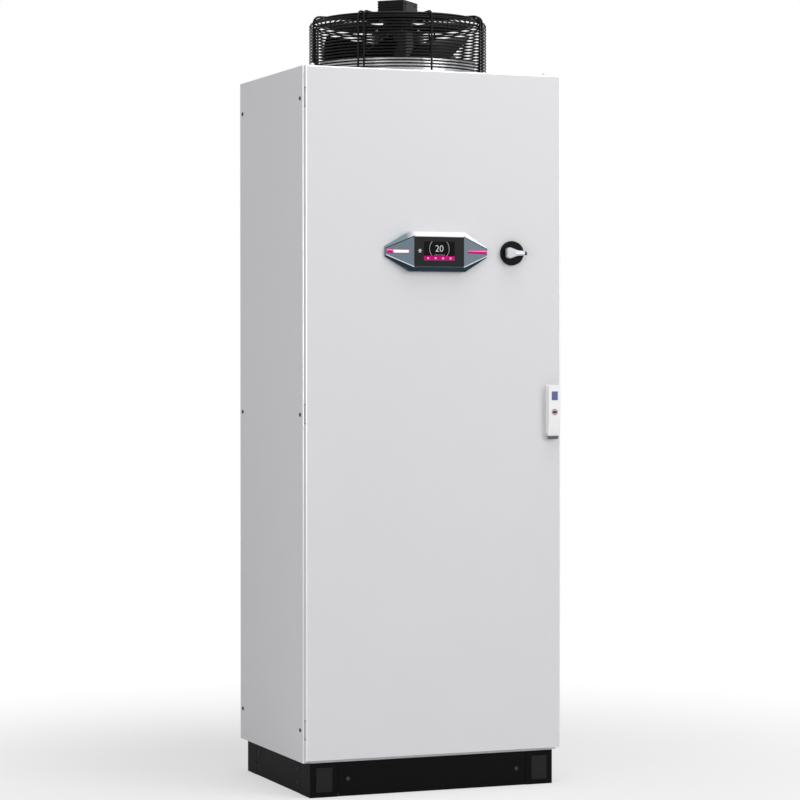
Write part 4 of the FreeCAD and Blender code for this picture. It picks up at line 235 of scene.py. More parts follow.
def mixed(tree, factor, first, second):
    """Return a mix of two colours."""
    node = tree.nodes.new("ShaderNodeMix")
    node.data_type = "RGBA"
    set_input(tree, node.inputs[0], factor)
    set_input(tree, node.inputs[6], first)
    set_input(tree, node.inputs[7], second)
    return node.outputs[2]


def stepped(tree, value, start, end):
    """Return a factor that goes from nothing at a start value to one at an end value."""
    node = tree.nodes.new("ShaderNodeMapRange")
    node.inputs["From Min"].default_value = start
    node.inputs["From Max"].default_value = end
    tree.links.new(value, node.inputs["Value"])
    return node.outputs[0]


def object_coordinates(tree):
    return tree.nodes.new("ShaderNodeTexCoord").outputs["Object"]


def split(tree, vector):
    """Return the three parts of a vector."""
    node = tree.nodes.new("ShaderNodeSeparateXYZ")
    tree.links.new(vector, node.inputs[0])
    return node.outputs


def facing(tree):
    """Return the three parts of the direction that a surface faces."""
    return split(tree, tree.nodes.new("ShaderNodeNewGeometry").outputs["Normal"])


def link_surface(tree, shader, color, roughness):
    """Link a colour and a roughness to a shader or a group's results."""
    tree.links.new(color, shader.inputs[0])
    tree.links.new(roughness, shader.inputs["Roughness"])


def varied(tree, value, change):
    """Return a factor round one that follows a noise value by a change."""
    swing = calculate(tree, "MULTIPLY", calculate(tree, "SUBTRACT", value, 0.5), change)
    return calculate(tree, "ADD", 1.0, swing)


# What the groups for a surface give
SURFACE_RESULTS = (
    ("Color", "NodeSocketColor"),
    ("Roughness", "NodeSocketFloat"),
    ("Height", "NodeSocketFloat"),
)


def grain_group():
    """Fine grain and broad cloudiness of a coated or moulded surface."""
    group, entry, result = new_group(
        "Surface grain",
        [
            ("Color", "NodeSocketColor", (0.5, 0.5, 0.5, 1.0)),
            ("Fine scale", "NodeSocketFloat", 600.0),
            ("Broad scale", "NodeSocketFloat", 4.0),
            ("Shade change", "NodeSocketFloat", 0.1),
            ("Roughness", "NodeSocketFloat", 0.45),
            ("Roughness change", "NodeSocketFloat", 0.3),
        ],
        SURFACE_RESULTS,
    )
    place = object_coordinates(group)
    fine = noise(group, place, entry.outputs["Fine scale"], 2.0)
    broad = noise(group, place, entry.outputs["Broad scale"], 4.0)
    shade = varied(group, broad, entry.outputs["Shade change"])
    speck = varied(group, fine, entry.outputs["Shade change"])
    shade = calculate(group, "MULTIPLY", shade, speck)
    rough = varied(group, broad, entry.outputs["Roughness change"])
    rough = calculate(group, "MULTIPLY", entry.outputs["Roughness"], rough)
    link_surface(group, result, tinted(group, entry.outputs["Color"], shade), rough)
    group.links.new(fine, result.inputs["Height"])
    return group


def brush_group():
    """Long fine lines of rolled, drawn or brushed metal with a cloudy sheen."""
    group, entry, result = new_group(
        "Drawn lines",
        [
            ("Color", "NodeSocketColor", (0.6, 0.6, 0.6, 1.0)),
            ("Line scale", "NodeSocketVector", (900.0, 900.0, 12.0)),
            ("Shade change", "NodeSocketFloat", 0.25),
            ("Roughness", "NodeSocketFloat", 0.3),
            ("Roughness change", "NodeSocketFloat", 0.5),
        ],
        SURFACE_RESULTS,
    )
    place = object_coordinates(group)
    stretch = group.nodes.new("ShaderNodeVectorMath")
    stretch.operation = "MULTIPLY"
    group.links.new(place, stretch.inputs[0])
    group.links.new(entry.outputs["Line scale"], stretch.inputs[1])
    lines = noise(group, stretch.outputs[0], 1.0, 3.0)
    cloud = noise(group, place, 14.0, 4.0)
    shade = varied(group, lines, entry.outputs["Shade change"])
    sheen = varied(group, cloud, entry.outputs["Shade change"])
    rough = varied(group, cloud, entry.outputs["Roughness change"])
    shade = calculate(group, "MULTIPLY", shade, sheen)
    rough = calculate(group, "MULTIPLY", entry.outputs["Roughness"], rough)
    link_surface(group, result, tinted(group, entry.outputs["Color"], shade), rough)
    group.links.new(lines, result.inputs["Height"])
    return group


def dust_group():
    """A little pale dust on what faces up."""
    group, entry, result = new_group(
        "Settled dust",
        [("Color", "NodeSocketColor", (0.5, 0.5, 0.5, 1.0)), ("Amount", "NodeSocketFloat", 0.2)],
        [("Color", "NodeSocketColor")],
    )
    dust = (0.42, 0.41, 0.39, 1.0)
    upward = calculate(group, "POWER", calculate(group, "MAXIMUM", facing(group)["Z"], 0.0), 4.0)
    patches = noise(group, object_coordinates(group), 30.0, 5.0)
    patches = calculate(group, "MULTIPLY", patches, entry.outputs["Amount"])
    cover = calculate(group, "MULTIPLY", upward, patches)
    group.links.new(mixed(group, cover, entry.outputs["Color"], dust), result.inputs[0])
    return group


def place_group(tree, name, values):
    """Add a shared node group to a material with its own values."""
    node = tree.nodes.new("ShaderNodeGroup")
    node.node_tree = bpy.data.node_groups[name]
    for label, value in values.items():
        set_input(tree, node.inputs[label], value)
    return node


def new_material(name):
    material = bpy.data.materials.new(name)
    material.use_nodes = True
    return material, material.node_tree, material.node_tree.nodes["Principled BSDF"]


def bumped(tree, shader, height, distance, strength):
    """Feed a height into the shader's normal."""
    bump = tree.nodes.new("ShaderNodeBump")
    bump.inputs["Strength"].default_value = strength
    bump.inputs["Distance"].default_value = distance
    tree.links.new(height, bump.inputs["Height"])
    tree.links.new(bump.outputs["Normal"], shader.inputs["Normal"])


def grained(name, color, roughness, scale=600.0, bump=0.3, metallic=0.0, change=0.06, dust=0.0, shine=0.5):
    """Make a coated, cast or moulded material."""
    material, tree, shader = new_material(name)
    grain = place_group(
        tree,
        "Surface grain",
        {
            "Color": (*color, 1.0),
            "Fine scale": scale,
            "Shade change": change,
            "Roughness": roughness,
        },
    )
    shown = grain.outputs["Color"]
    if dust > 0:
        shown = place_group(tree, "Settled dust", {"Color": shown, "Amount": dust}).outputs["Color"]
    link_surface(tree, shader, shown, grain.outputs["Roughness"])
    shader.inputs["Metallic"].default_value = metallic
    shader.inputs["Specular IOR Level"].default_value = shine
    bumped(tree, shader, grain.outputs["Height"], 0.6 / scale, bump)
    return material


def drawn(name, color, roughness, lines=(900.0, 900.0, 12.0), change=0.25, bump=0.08):
    """Make a bare rolled or drawn metal."""
    material, tree, shader = new_material(name)
    brush = place_group(
        tree,
        "Drawn lines",
        {"Color": (*color, 1.0), "Line scale": lines, "Shade change": change, "Roughness": roughness},
    )
    link_surface(tree, shader, brush.outputs["Color"], brush.outputs["Roughness"])
    shader.inputs["Metallic"].default_value = 1.0
    bumped(tree, shader, brush.outputs["Height"], 0.0004, bump)
    return material


def galvanised():
    """Make zinc-coated sheet with its crystal flakes."""
    material, tree, shader = new_material("Galvanised sheet")
    place = object_coordinates(tree)
    flakes = tree.nodes.new("ShaderNodeTexVoronoi")
    flakes.inputs["Scale"].default_value = 90.0
    tree.links.new(place, flakes.inputs["Vector"])
    parts = tree.nodes.new("ShaderNodeSeparateColor")
    tree.links.new(flakes.outputs["Color"], parts.inputs[0])
    brush = place_group(
        tree,
        "Drawn lines",
        {"Color": (0.52, 0.54, 0.56, 1.0), "Shade change": 0.12, "Roughness": 0.36},
    )
    shade = varied(tree, parts.outputs[0], 0.22)
    rough = calculate(tree, "MULTIPLY", brush.outputs["Roughness"], varied(tree, parts.outputs[1], 0.5))
    link_surface(tree, shader, tinted(tree, brush.outputs["Color"], shade), rough)
    shader.inputs["Metallic"].default_value = 1.0
    bumped(tree, shader, flakes.outputs["Distance"], 0.0003, 0.05)
    return material


def coil_fins():
    """Make the close rows of aluminium fins crossed by rows of tube bends, with painted shade in the gaps
    between fins.
    """
    material, tree, shader = new_material("Coil fins")
    place = split(tree, object_coordinates(tree))
    half_fin = 0.0011
    half_row = 0.0127
    fins = calculate(tree, "DIVIDE", calculate(tree, "PINGPONG", place["X"], half_fin), half_fin)
    rows = calculate(tree, "DIVIDE", calculate(tree, "PINGPONG", place["Z"], half_row), half_row)
    grain = place_group(
        tree,
        "Surface grain",
        {"Color": (0.55, 0.56, 0.57, 1.0), "Fine scale": 200.0, "Shade change": 0.2, "Roughness": 0.4},
    )
    # Colour darkens to a quarter at one side of each fin pitch: painted shade in the gaps between fins; the
    # rows add lighter and darker bands.
    depth = calculate(tree, "MULTIPLY_ADD", fins, 0.75)
    depth.node.inputs[2].default_value = 0.25
    shade = calculate(tree, "MULTIPLY", depth, varied(tree, rows, 0.25))
    link_surface(tree, shader, tinted(tree, grain.outputs["Color"], shade), grain.outputs["Roughness"])
    shader.inputs["Metallic"].default_value = 0.8
    bumped(tree, shader, fins, 0.001, 0.8)
    return material


def housing_slate(color):
    """Make the panel housing: satin slate face, a pale silver upper rim whose near-white tone is partly
    painted highlight, painted shade towards its left end, and a navy lower rim.
    """
    material, tree, shader = new_material("Housing slate")
    grain = place_group(
        tree,
        "Surface grain",
        {"Color": (*color, 1.0), "Fine scale": 1500.0, "Shade change": 0.08, "Roughness": 0.3},
    )
    # Upward-facing faces turn near-white, partly silver paint and partly painted highlight, with painted
    # shade (a dim teal) towards the left end; downward-facing faces turn navy.
    painted_shade_slate = (0.2, 0.28, 0.31, 1.0)
    pale = (0.97, 0.98, 0.99, 1.0)
    navy = (0.01, 0.028, 0.045, 1.0)
    tilt_start, tilt_end = 0.1, 0.3
    pale_start, pale_end = -0.1, -0.07
    slope = facing(tree)["Z"]
    up = stepped(tree, slope, tilt_start, tilt_end)
    down = stepped(tree, slope, -tilt_start, -tilt_end)
    # Painted shade towards the housing's left end.
    along = stepped(tree, split(tree, object_coordinates(tree))["X"], pale_start, pale_end)
    shown = mixed(tree, up, grain.outputs["Color"], mixed(tree, along, painted_shade_slate, pale))
    link_surface(tree, shader, mixed(tree, down, shown, navy), grain.outputs["Roughness"])
    shader.inputs["Specular IOR Level"].default_value = 0.2
    bumped(tree, shader, grain.outputs["Height"], 0.0003, 0.05)
    return material


def lit(name, color, strength, fade=0.0):
    """Make a lit surface whose glow wavers a little over its length."""
    material, tree, shader = new_material(name)
    grain = place_group(
        tree,
        "Surface grain",
        {"Color": (*color, 1.0), "Fine scale": 900.0, "Broad scale": 40.0, "Shade change": fade},
    )
    shader.inputs["Roughness"].default_value = 0.25
    shader.inputs["Specular IOR Level"].default_value = 0.03
    tree.links.new(grain.outputs["Color"], shader.inputs["Base Color"])
    tree.links.new(grain.outputs["Color"], shader.inputs["Emission Color"])
    shader.inputs["Emission Strength"].default_value = strength
    return material


def light_bar_material(color):
    """Make the light bars: an accent glow, paler along its top, with a white core on the left bar."""
    material, tree, shader = new_material("Light bar")
    pale = (0.72, 0.2, 0.42, 1.0)
    white = (0.95, 0.93, 0.95, 1.0)
    pale_start, pale_end = 0.0012, 0.0036
    core_x = -0.116
    core_half, core_full = 0.024, 0.019
    core_edge, core_flat = 0.0042, 0.003
    place = split(tree, object_coordinates(tree))
    height = calculate(tree, "SUBTRACT", place["Z"], PANEL_Z)
    glow = mixed(tree, stepped(tree, height, pale_start, pale_end), (*color, 1.0), pale)
    offset = calculate(tree, "ABSOLUTE", calculate(tree, "SUBTRACT", place["X"], core_x), 0.0)
    along = stepped(tree, offset, core_half, core_full)
    across = stepped(tree, calculate(tree, "ABSOLUTE", height, 0.0), core_edge, core_flat)
    shown = mixed(tree, calculate(tree, "MULTIPLY", along, across), glow, white)
    tree.links.new(shown, shader.inputs["Base Color"])
    tree.links.new(shown, shader.inputs["Emission Color"])
    shader.inputs["Emission Strength"].default_value = 0.4
    shader.inputs["Roughness"].default_value = 0.3
    shader.inputs["Specular IOR Level"].default_value = 0.05
    return material


def dark_glass(name, color):
    """Make a dark front glass with a faint film of fingerprints."""
    material, tree, shader = new_material(name)
    grain = place_group(
        tree,
        "Surface grain",
        {
            "Color": (*color, 1.0),
            "Fine scale": 300.0,
            "Broad scale": 25.0,
            "Shade change": 0.1,
            "Roughness": 0.3,
            "Roughness change": 0.6,
        },
    )
    link_surface(tree, shader, grain.outputs["Color"], grain.outputs["Roughness"])
    shader.inputs["Specular IOR Level"].default_value = 0.05
    return material


def make_finishes(coat):
    """Build the shared groups and every material by name."""
    grain_group()
    brush_group()
    dust_group()
    grained("Cabinet coat", coat.cabinet, 0.46, coat.grain, 0.16, change=0.035, dust=0.12)
    grained("Plinth coat", coat.plinth, 0.5, 900.0, 0.3, change=0.2, shine=0.06)
    grained("Plate satin", (0.009, 0.009, 0.0095), 0.35, 1200.0, 0.1, change=0.15, shine=0.2)
    # Near-white, part-metallic material of the rounded folds: a painted highlight.
    grained("Fold coat", coat.fold_coat, 0.32, coat.grain, 0.08, metallic=0.6, change=0.03)
    grained("Frame primer", (0.6, 0.6, 0.61), 0.5, 500.0, 0.15, dust=0.15)
    grained("Guard coat", (0.005, 0.005, 0.0055), 0.4, 900.0, 0.15, change=0.2, shine=0.14)
    grained("Motor casting", (0.004, 0.004, 0.0045), 0.36, 700.0, 0.3, change=0.25, shine=0.14)
    grained("Blade coat", (0.004, 0.004, 0.0045), 0.3, 1200.0, 0.1, change=0.2, shine=0.15)
    grained("Black plastic", (0.003, 0.003, 0.0035), 0.4, 1400.0, 0.15, change=0.15, shine=0.08)
    grained("White plastic", (0.86, 0.86, 0.87), 0.32, 1600.0, 0.08, change=0.03)
    grained("Grey plastic", (0.33, 0.34, 0.36), 0.45, 1200.0, 0.15)
    grained("Device plastic", (0.2, 0.21, 0.22), 0.5, 1200.0, 0.2, dust=0.15)
    grained("Inverter plastic", (0.055, 0.06, 0.066), 0.5, 1200.0, 0.2, dust=0.15)
    grained("Duct plastic", (0.4, 0.41, 0.42), 0.55, 1200.0, 0.15, dust=0.15)
    grained("Tank plastic", (0.6, 0.61, 0.58), 0.5, 160.0, 0.1, change=0.12, dust=0.2)
    grained("Foam insulation", (0.018, 0.018, 0.019), 0.85, 420.0, 0.6, change=0.3, dust=0.25)
    grained("Rubber", (0.02, 0.02, 0.02), 0.75, 500.0, 0.3, change=0.2)
    grained("Pump casting", (0.1, 0.105, 0.11), 0.6, 260.0, 0.6, metallic=0.4, change=0.25, dust=0.2)
    grained("Motor paint", (0.045, 0.06, 0.075), 0.42, 500.0, 0.25, change=0.15, dust=0.2)
    grained("Compressor paint", (0.014, 0.014, 0.016), 0.35, 400.0, 0.25, change=0.2, dust=0.2)
    grained("Lock insert", (0.52, 0.34, 0.36), 0.4, 1500.0, 0.15)
    # Dark red-brown of the keyway: painted shade standing in for the hole in the lock insert.
    grained("Key slot", (0.06, 0.022, 0.024), 0.5, 1500.0, 0.15)
    # Dark grey of the lever's toe: painted shade under the lever's lower end.
    grained("Rest plastic", (0.12, 0.12, 0.125), 0.5, 1500.0, 0.15)
    grained("Grip silver", (0.44, 0.46, 0.49), 0.28, 1500.0, 0.1, metallic=0.35, change=0.1)
    grained("Plate blue", (0.09, 0.1, 0.28), 0.45, 1500.0, 0.1)
    grained("Can gloss", (0.004, 0.004, 0.0045), 0.1, 1500.0, 0.02, change=0.2, shine=0.3)
    drawn("Zinc plate", (0.62, 0.62, 0.63), 0.32)
    drawn("Dark steel", (0.06, 0.06, 0.065), 0.4)
    drawn("Nozzle steel", (0.8, 0.81, 0.82), 0.34, (40.0, 40.0, 900.0), 0.1)
    drawn("Copper tube", (0.72, 0.32, 0.18), 0.3, (60.0, 60.0, 60.0), 0.35)
    drawn("Stainless tube", (0.62, 0.63, 0.64), 0.28, (300.0, 300.0, 300.0), 0.15)
    galvanised()
    coil_fins()
    housing_slate(coat.slate)
    # Dark and bright lines along the wings: painted shadow under the rim's crest and painted highlight on the
    # lower lip.
    grained("Seam navy", (0.006, 0.016, 0.03), 0.35, 1500.0, 0.05)
    grained("Seam silver", (0.75, 0.78, 0.8), 0.25, 1500.0, 0.05)
    light_bar_material(coat.accent)
    dark_glass("Panel glass", (0.021, 0.021, 0.022))
    dark_glass("Screen black", (0.003, 0.003, 0.0035))
    lit("Screen white", (0.5, 0.51, 0.53), 0.4, 0.1)
    lit("Screen accent", coat.accent, 0.4, 0.15)
    lit("Status green", (0.03, 0.5, 0.06), 0.6, 0.1)


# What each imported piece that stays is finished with
NODE_FINISHES = {
    "Zinc plate": ["hinge_pins", "switch_shaft", "lever_pin", "lock_pinion"],
    "Rubber": ["door_gasket"],
    "Coil fins": ["condenser_coil"],
}

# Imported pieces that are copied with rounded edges: material, and the width of the rounding
FRAME_EDGES = {
    "frame_posts": ("Frame primer", 0.003),
    "frame_rails": ("Frame primer", 0.003),
    "base_plate": ("Galvanised sheet", 0.0006),
    "partitions": ("Galvanised sheet", 0.0005),
}
DOOR_EDGES = {
    "door_stiffeners": ("Frame primer", 0.0015),
    "door_knuckles": ("Cabinet coat", 0.0008),
    "hinge_brackets": ("Cabinet coat", 0.0006),
    "handle_hub": ("Zinc plate", 0.0004),
    "lock_case": ("Zinc plate", 0.0005),
    "rod_guides": ("Black plastic", 0.0006),
    "lock_rod_upper": ("Zinc plate", 0.0003),
    "lock_rod_lower": ("Zinc plate", 0.0003),
    "lock_keepers": ("Zinc plate", 0.0004),
}
ELECTRICAL_EDGES = {
    "electrical_tray": ("Galvanised sheet", 0.0006),
    "wiring_ducts": ("Duct plastic", 0.0015),
    "inverter": ("Inverter plastic", 0.0025),
    "control_gear": ("Device plastic", 0.001),
}
COOLING_EDGES = {
    "condenser_headers": ("Copper tube", 0.003),
    "refrigerant_lines": ("Copper tube", 0.0008),
    "compressor_feet": ("Rubber", 0.002),
    "evaporator": ("Foam insulation", 0.004),
}
WATER_EDGES = {
    "tank": ("Tank plastic", 0.008),
    "pump": ("Pump casting", 0.003),
    "water_lines": ("Stainless tube", 0.0008),
    "cable_glands": ("Grey plastic", 0.001),
}


# Shared shaping
def finish_piece(name, bm, body, material, replaced=(), smooth_angle=35.0):
    """Turn a bmesh into an object that rides on a body."""
    bmesh.ops.remove_doubles(bm, verts=bm.verts, dist=MERGE)
    mesh = bpy.data.meshes.new(name)
    for face in bm.faces:
        face.smooth = True
    bm.to_mesh(mesh)
    bm.free()
    mesh.set_sharp_from_angle(angle=math.radians(smooth_angle))
    mesh.materials.append(bpy.data.materials[material])
    piece = bpy.data.objects.new(name, mesh)
    bpy.context.scene.collection.objects.link(piece)
    normals = piece.modifiers.new("Flat faces", "WEIGHTED_NORMAL")
    normals.keep_sharp = True
    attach(piece, body)
    if replaced:
        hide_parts(*replaced)
    return piece


def soften(bm, width, segments=3, angle=30.0, test=None):
    """Round the edges that turn by more than an angle and pass a test of their two ends."""
    sharp = [
        edge
        for edge in bm.edges
        if edge.is_manifold
        and edge.calc_face_angle(0.0) > math.radians(angle)
        and (test is None or all(test(corner.co) for corner in edge.verts))
    ]
    bmesh.ops.bevel(
        bm,
        geom=sharp,
        offset=width,
        offset_type="OFFSET",
        segments=segments,
        profile=0.5,
        affect="EDGES",
        clamp_overlap=True,
        material=-1,
    )


def join_into(bm, part):
    """Add one bmesh to another."""
    mesh = bpy.data.meshes.new("part")
    part.to_mesh(mesh)
    part.free()
    bm.from_mesh(mesh)
    bpy.data.meshes.remove(mesh)


def block(low, high, width=0.0, segments=2):
    """Return a block between two corners with rounded edges."""
    bm = bmesh.new()
    low, high = Vector(low), Vector(high)
    size = high - low
    place = Matrix.Translation((low + high) / 2) @ Matrix.Diagonal((*size, 1.0))
    bmesh.ops.create_cube(bm, size=1.0, matrix=place)
    if width > 0:
        soften(bm, width, segments)
    return bm


def spun(profile, steps, closed=False, width=0.0, segments=3):
    """Spin a profile of radius and height pairs round the vertical axis."""
    bm = bmesh.new()
    points = [bm.verts.new((radius, 0.0, height)) for radius, height in profile]
    lines = [bm.edges.new(pair) for pair in zip(points, points[1:])]
    if closed:
        lines.append(bm.edges.new((points[-1], points[0])))
    bmesh.ops.spin(
        bm,
        geom=points + lines,
        cent=(0, 0, 0),
        axis=(0, 0, 1),
        angle=2 * math.pi,
        steps=steps,
        use_merge=True,
    )
    bmesh.ops.remove_doubles(bm, verts=bm.verts, dist=MERGE)
    bmesh.ops.dissolve_degenerate(bm, edges=bm.edges, dist=MERGE)
    bmesh.ops.recalc_face_normals(bm, faces=bm.faces)
    if width > 0:
        soften(bm, width, segments, 40.0)
    return bm


def cylinder(radius, low, high, steps, width=0.0):
    """Return a round bar that stands between two heights."""
    return spun([(0.0, low), (radius, low), (radius, high), (0.0, high)], steps, width=width)


def tube(inner, outer, low, high, steps, width=0.0):
    """Return a round pipe that stands between two heights."""
    profile = [(inner, low), (outer, low), (outer, high), (inner, high)]
    return spun(profile, steps, closed=True, width=width)


def moved(bm, matrix):
    bmesh.ops.transform(bm, matrix=matrix, verts=bm.verts)
    return bm


def set_round(bm, part, count):
    """Add copies of a part at even turns round the upright axis."""
    for i in range(count):
        join_into(bm, moved(part.copy(), Matrix.Rotation(2 * math.pi * i / count, 4, "Z")))
    part.free()


# Turns that point an upright form to the front and to the rear
TO_FRONT = Matrix.Rotation(math.radians(90), 4, "X")
TO_REAR = Matrix.Rotation(math.radians(-90), 4, "X")


def turned_to(direction, place):
    """Return the matrix that stands a spun form on a place along a direction."""
    turn = Vector((0, 0, 1)).rotation_difference(Vector(direction)).to_matrix().to_4x4()
    return Matrix.Translation(Vector(place)) @ turn


def slab(outline, depth, width=0.0, segments=3):
    """Extrude an outline in the upright plane towards the front and round its front edges."""
    bm = bmesh.new()
    face = bm.faces.new([bm.verts.new((x, 0.0, z)) for x, z in outline])
    bmesh.ops.recalc_face_normals(bm, faces=[face])
    grown = bmesh.ops.extrude_face_region(bm, geom=[face])
    corners = [item for item in grown["geom"] if isinstance(item, bmesh.types.BMVert)]
    bmesh.ops.translate(bm, vec=(0, -depth, 0), verts=corners)
    bmesh.ops.recalc_face_normals(bm, faces=bm.faces)
    if width > 0:
        soften(bm, width, segments, 25.0)
    return bm


def meshed(curve):
    """Turn a curve or a text into a bmesh and drop it."""
    carrier = bpy.data.objects.new("curve", curve)
    bpy.context.scene.collection.objects.link(carrier)
    depsgraph = bpy.context.evaluated_depsgraph_get()
    mesh = bpy.data.meshes.new_from_object(carrier.evaluated_get(depsgraph))
    bm = bmesh.new()
    bm.from_mesh(mesh)
    bpy.data.objects.remove(carrier)
    bpy.data.curves.remove(curve)
    bpy.data.meshes.remove(mesh)
    return bm


def rod(points, radius, bend, resolution=3):
    """Return a round bar along straight runs that are joined by arcs."""
    curve = bpy.data.curves.new("rod", "CURVE")
    curve.dimensions = "3D"
    curve.bevel_depth = radius
    curve.bevel_resolution = resolution
    curve.resolution_u = 8
    curve.use_fill_caps = True
    corners = [Vector(point) for point in points]
    knots = [corners[0]]
    for before, corner, after in zip(corners, corners[1:], corners[2:]):
        knots.append(corner + (before - corner).normalized() * bend)
        knots.append(corner + (after - corner).normalized() * bend)
    knots.append(corners[-1])
    spline = curve.splines.new("BEZIER")
    spline.bezier_points.add(len(knots) - 1)
    arc = 0.5523
    for index, (point, place) in enumerate(zip(spline.bezier_points, knots)):
        point.co = place
        before = knots[max(index - 1, 0)]
        after = knots[min(index + 1, len(knots) - 1)]
        point.handle_left = place.lerp(before, 1 / 3)
        point.handle_right = place.lerp(after, 1 / 3)
        if 0 < index < len(knots) - 1:
            corner = corners[(index + 1) // 2]
            if index % 2:
                point.handle_right = place.lerp(corner, arc)
            else:
                point.handle_left = place.lerp(corner, arc)
    bm = meshed(curve)
    bmesh.ops.recalc_face_normals(bm, faces=bm.faces)
    return bm


def copied(node):
    """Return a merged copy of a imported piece's mesh with its flat faces whole."""
    bm = bmesh.new()
    bm.from_mesh(frame["nodes"][node].data)
    bmesh.ops.remove_doubles(bm, verts=bm.verts, dist=1e-5)
    bmesh.ops.dissolve_limit(bm, angle_limit=math.radians(0.5), verts=bm.verts, edges=bm.edges)
    return bm


def softened(node, material, width, segments=2, test=None):
    """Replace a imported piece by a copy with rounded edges, or only those that pass a test."""
    bm = copied(node)
    soften(bm, width, segments, 30.0, test)
    body = body_of(frame["nodes"][node])[0]
    return finish_piece(node + "_soft", bm, body, material, (node,))


def soften_all(edges):
    for node, (material, width) in edges.items():
        softened(node, material, width)


def islands(bm):
    """Return the lowest and highest corners of each separate solid of a bmesh."""
    left = set(bm.verts)
    boxes = []
    while left:
        waiting = [left.pop()]
        places = []
        while waiting:
            corner = waiting.pop()
            places.append(corner.co.copy())
            for edge in corner.link_edges:
                other = edge.other_vert(corner)
                if other in left:
                    left.discard(other)
                    waiting.append(other)
        low = Vector([min(place[axis] for place in places) for axis in range(3)])
        high = Vector([max(place[axis] for place in places) for axis in range(3)])
        boxes.append((low, high))
    return sorted(boxes, key=lambda pair: [round(value, 5) for value in pair[0]])


def screw(place, direction, radius, height):
    """Return a domed screw head with a hexagon socket."""
    bm = spun(
        [
            (radius * 0.46, height * 0.45),
            (radius * 0.5, height * 0.95),
            (radius * 0.78, height),
            (radius * 0.95, height * 0.7),
            (radius, 0.0),
        ],
        24,
        width=radius * 0.06,
        segments=2,
    )
    bmesh.ops.holes_fill(bm, edges=[edge for edge in bm.edges if edge.is_boundary])
    return moved(bm, turned_to(direction, place))


class CHILLER_OT_finishes(bpy.types.Operator):
    """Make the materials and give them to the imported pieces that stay"""

    bl_idname = "chiller.finishes"
    bl_label = "Finishes"

    def execute(self, context):
        make_finishes(context.scene.chiller_coat)
        for material, nodes in NODE_FINISHES.items():
            for node in nodes:
                for slot in frame["nodes"][node].material_slots:
                    slot.material = bpy.data.materials[material]
        return {"FINISHED"}


class CHILLER_OT_skin(bpy.types.Operator):
    """Door, side panels, roof, rear panel and air grille with rounded folds"""

    bl_idname = "chiller.skin"
    bl_label = "Skin"

    def execute(self, context):
        fold = context.scene.chiller_coat.fold
        near = 0.0002
        self.brighten(softened("door_panel", "Cabinet coat", fold / 12, 2))
        for side, node in ((-1, "side_panel_left"), (1, "side_panel_right")):
            low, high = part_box(node)
            face = low.x if side < 0 else high.x
            self.brighten(softened(node, "Cabinet coat", fold, 5, lambda co: abs(co.x - face) < near))
        softened("roof_plate", "Cabinet coat", fold / 3, 3, lambda co: co.z > ROOF_TOP - near)
        self.brighten(softened("rear_panel", "Cabinet coat", fold / 3, 3, lambda co: co.y > REAR_FACE - near))
        softened("rear_grille", "Cabinet coat", fold / 6, 2)
        return {"FINISHED"}

    def brighten(self, piece):
        """Give the rounded folds a painted highlight: the near-white, part-metallic fold material."""
        flat = 0.995
        piece.data.materials.append(bpy.data.materials["Fold coat"])
        for face in piece.data.polygons:
            if max(abs(part) for part in face.normal) < flat:
                face.material_index = 1


class CHILLER_OT_skin_fasteners(bpy.types.Operator):
    """Screws of the side panels and domed bolts on the roof corners"""

    bl_idname = "chiller.skin_fasteners"
    bl_label = "Skin fasteners"

    def execute(self, context):
        low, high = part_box("panel_screws")
        radius = 0.006
        height = 0.0025
        panel_x = high.x - height
        heads = bmesh.new()
        levels = (low.z + radius, (low.z + high.z) / 2, high.z - radius)
        for side in (-1, 1):
            for y in (low.y + radius, high.y - radius):
                for z in levels:
                    join_into(heads, screw((side * panel_x, y, z), (side, 0, 0), radius, height))
        finish_piece("panel_screw_heads", heads, "cabinet", "Dark steel", ("panel_screws",))
        self.rear_screws(radius * 0.8, height * 0.8)
        low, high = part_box("roof_bolts")
        radius = 0.008
        caps = bmesh.new()
        for x in (low.x + radius, high.x - radius):
            for y in (low.y + radius, high.y - radius):
                cap = spun(
                    [
                        (radius, low.z),
                        (radius, low.z + 0.002),
                        (radius * 0.84, low.z + 0.0026),
                        (radius * 0.82, low.z + 0.005),
                        (radius * 0.6, low.z + 0.0078),
                        (radius * 0.25, high.z),
                        (0.0, high.z),
                    ],
                    32,
                    width=0.0004,
                )
                join_into(caps, moved(cap, Matrix.Translation((x, y, 0))))
        finish_piece("roof_bolt_caps", caps, "cabinet", "White plastic", ("roof_bolts",))
        return {"FINISHED"}

    def rear_screws(self, radius, height):
        """Set screws along the upright edges of the rear panel and the air grille."""
        inset = 0.014
        heads = bmesh.new()
        for node, rows in (("rear_panel", 4), ("rear_grille", 4)):
            low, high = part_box(node)
            for x in (low.x + inset, high.x - inset):
                for i in range(rows):
                    z = low.z + inset * 2 + (high.z - low.z - inset * 4) * i / (rows - 1)
                    join_into(heads, screw((x, high.y, z), (0, 1, 0), radius, height))
        finish_piece("rear_screw_heads", heads, "cabinet", "Dark steel")


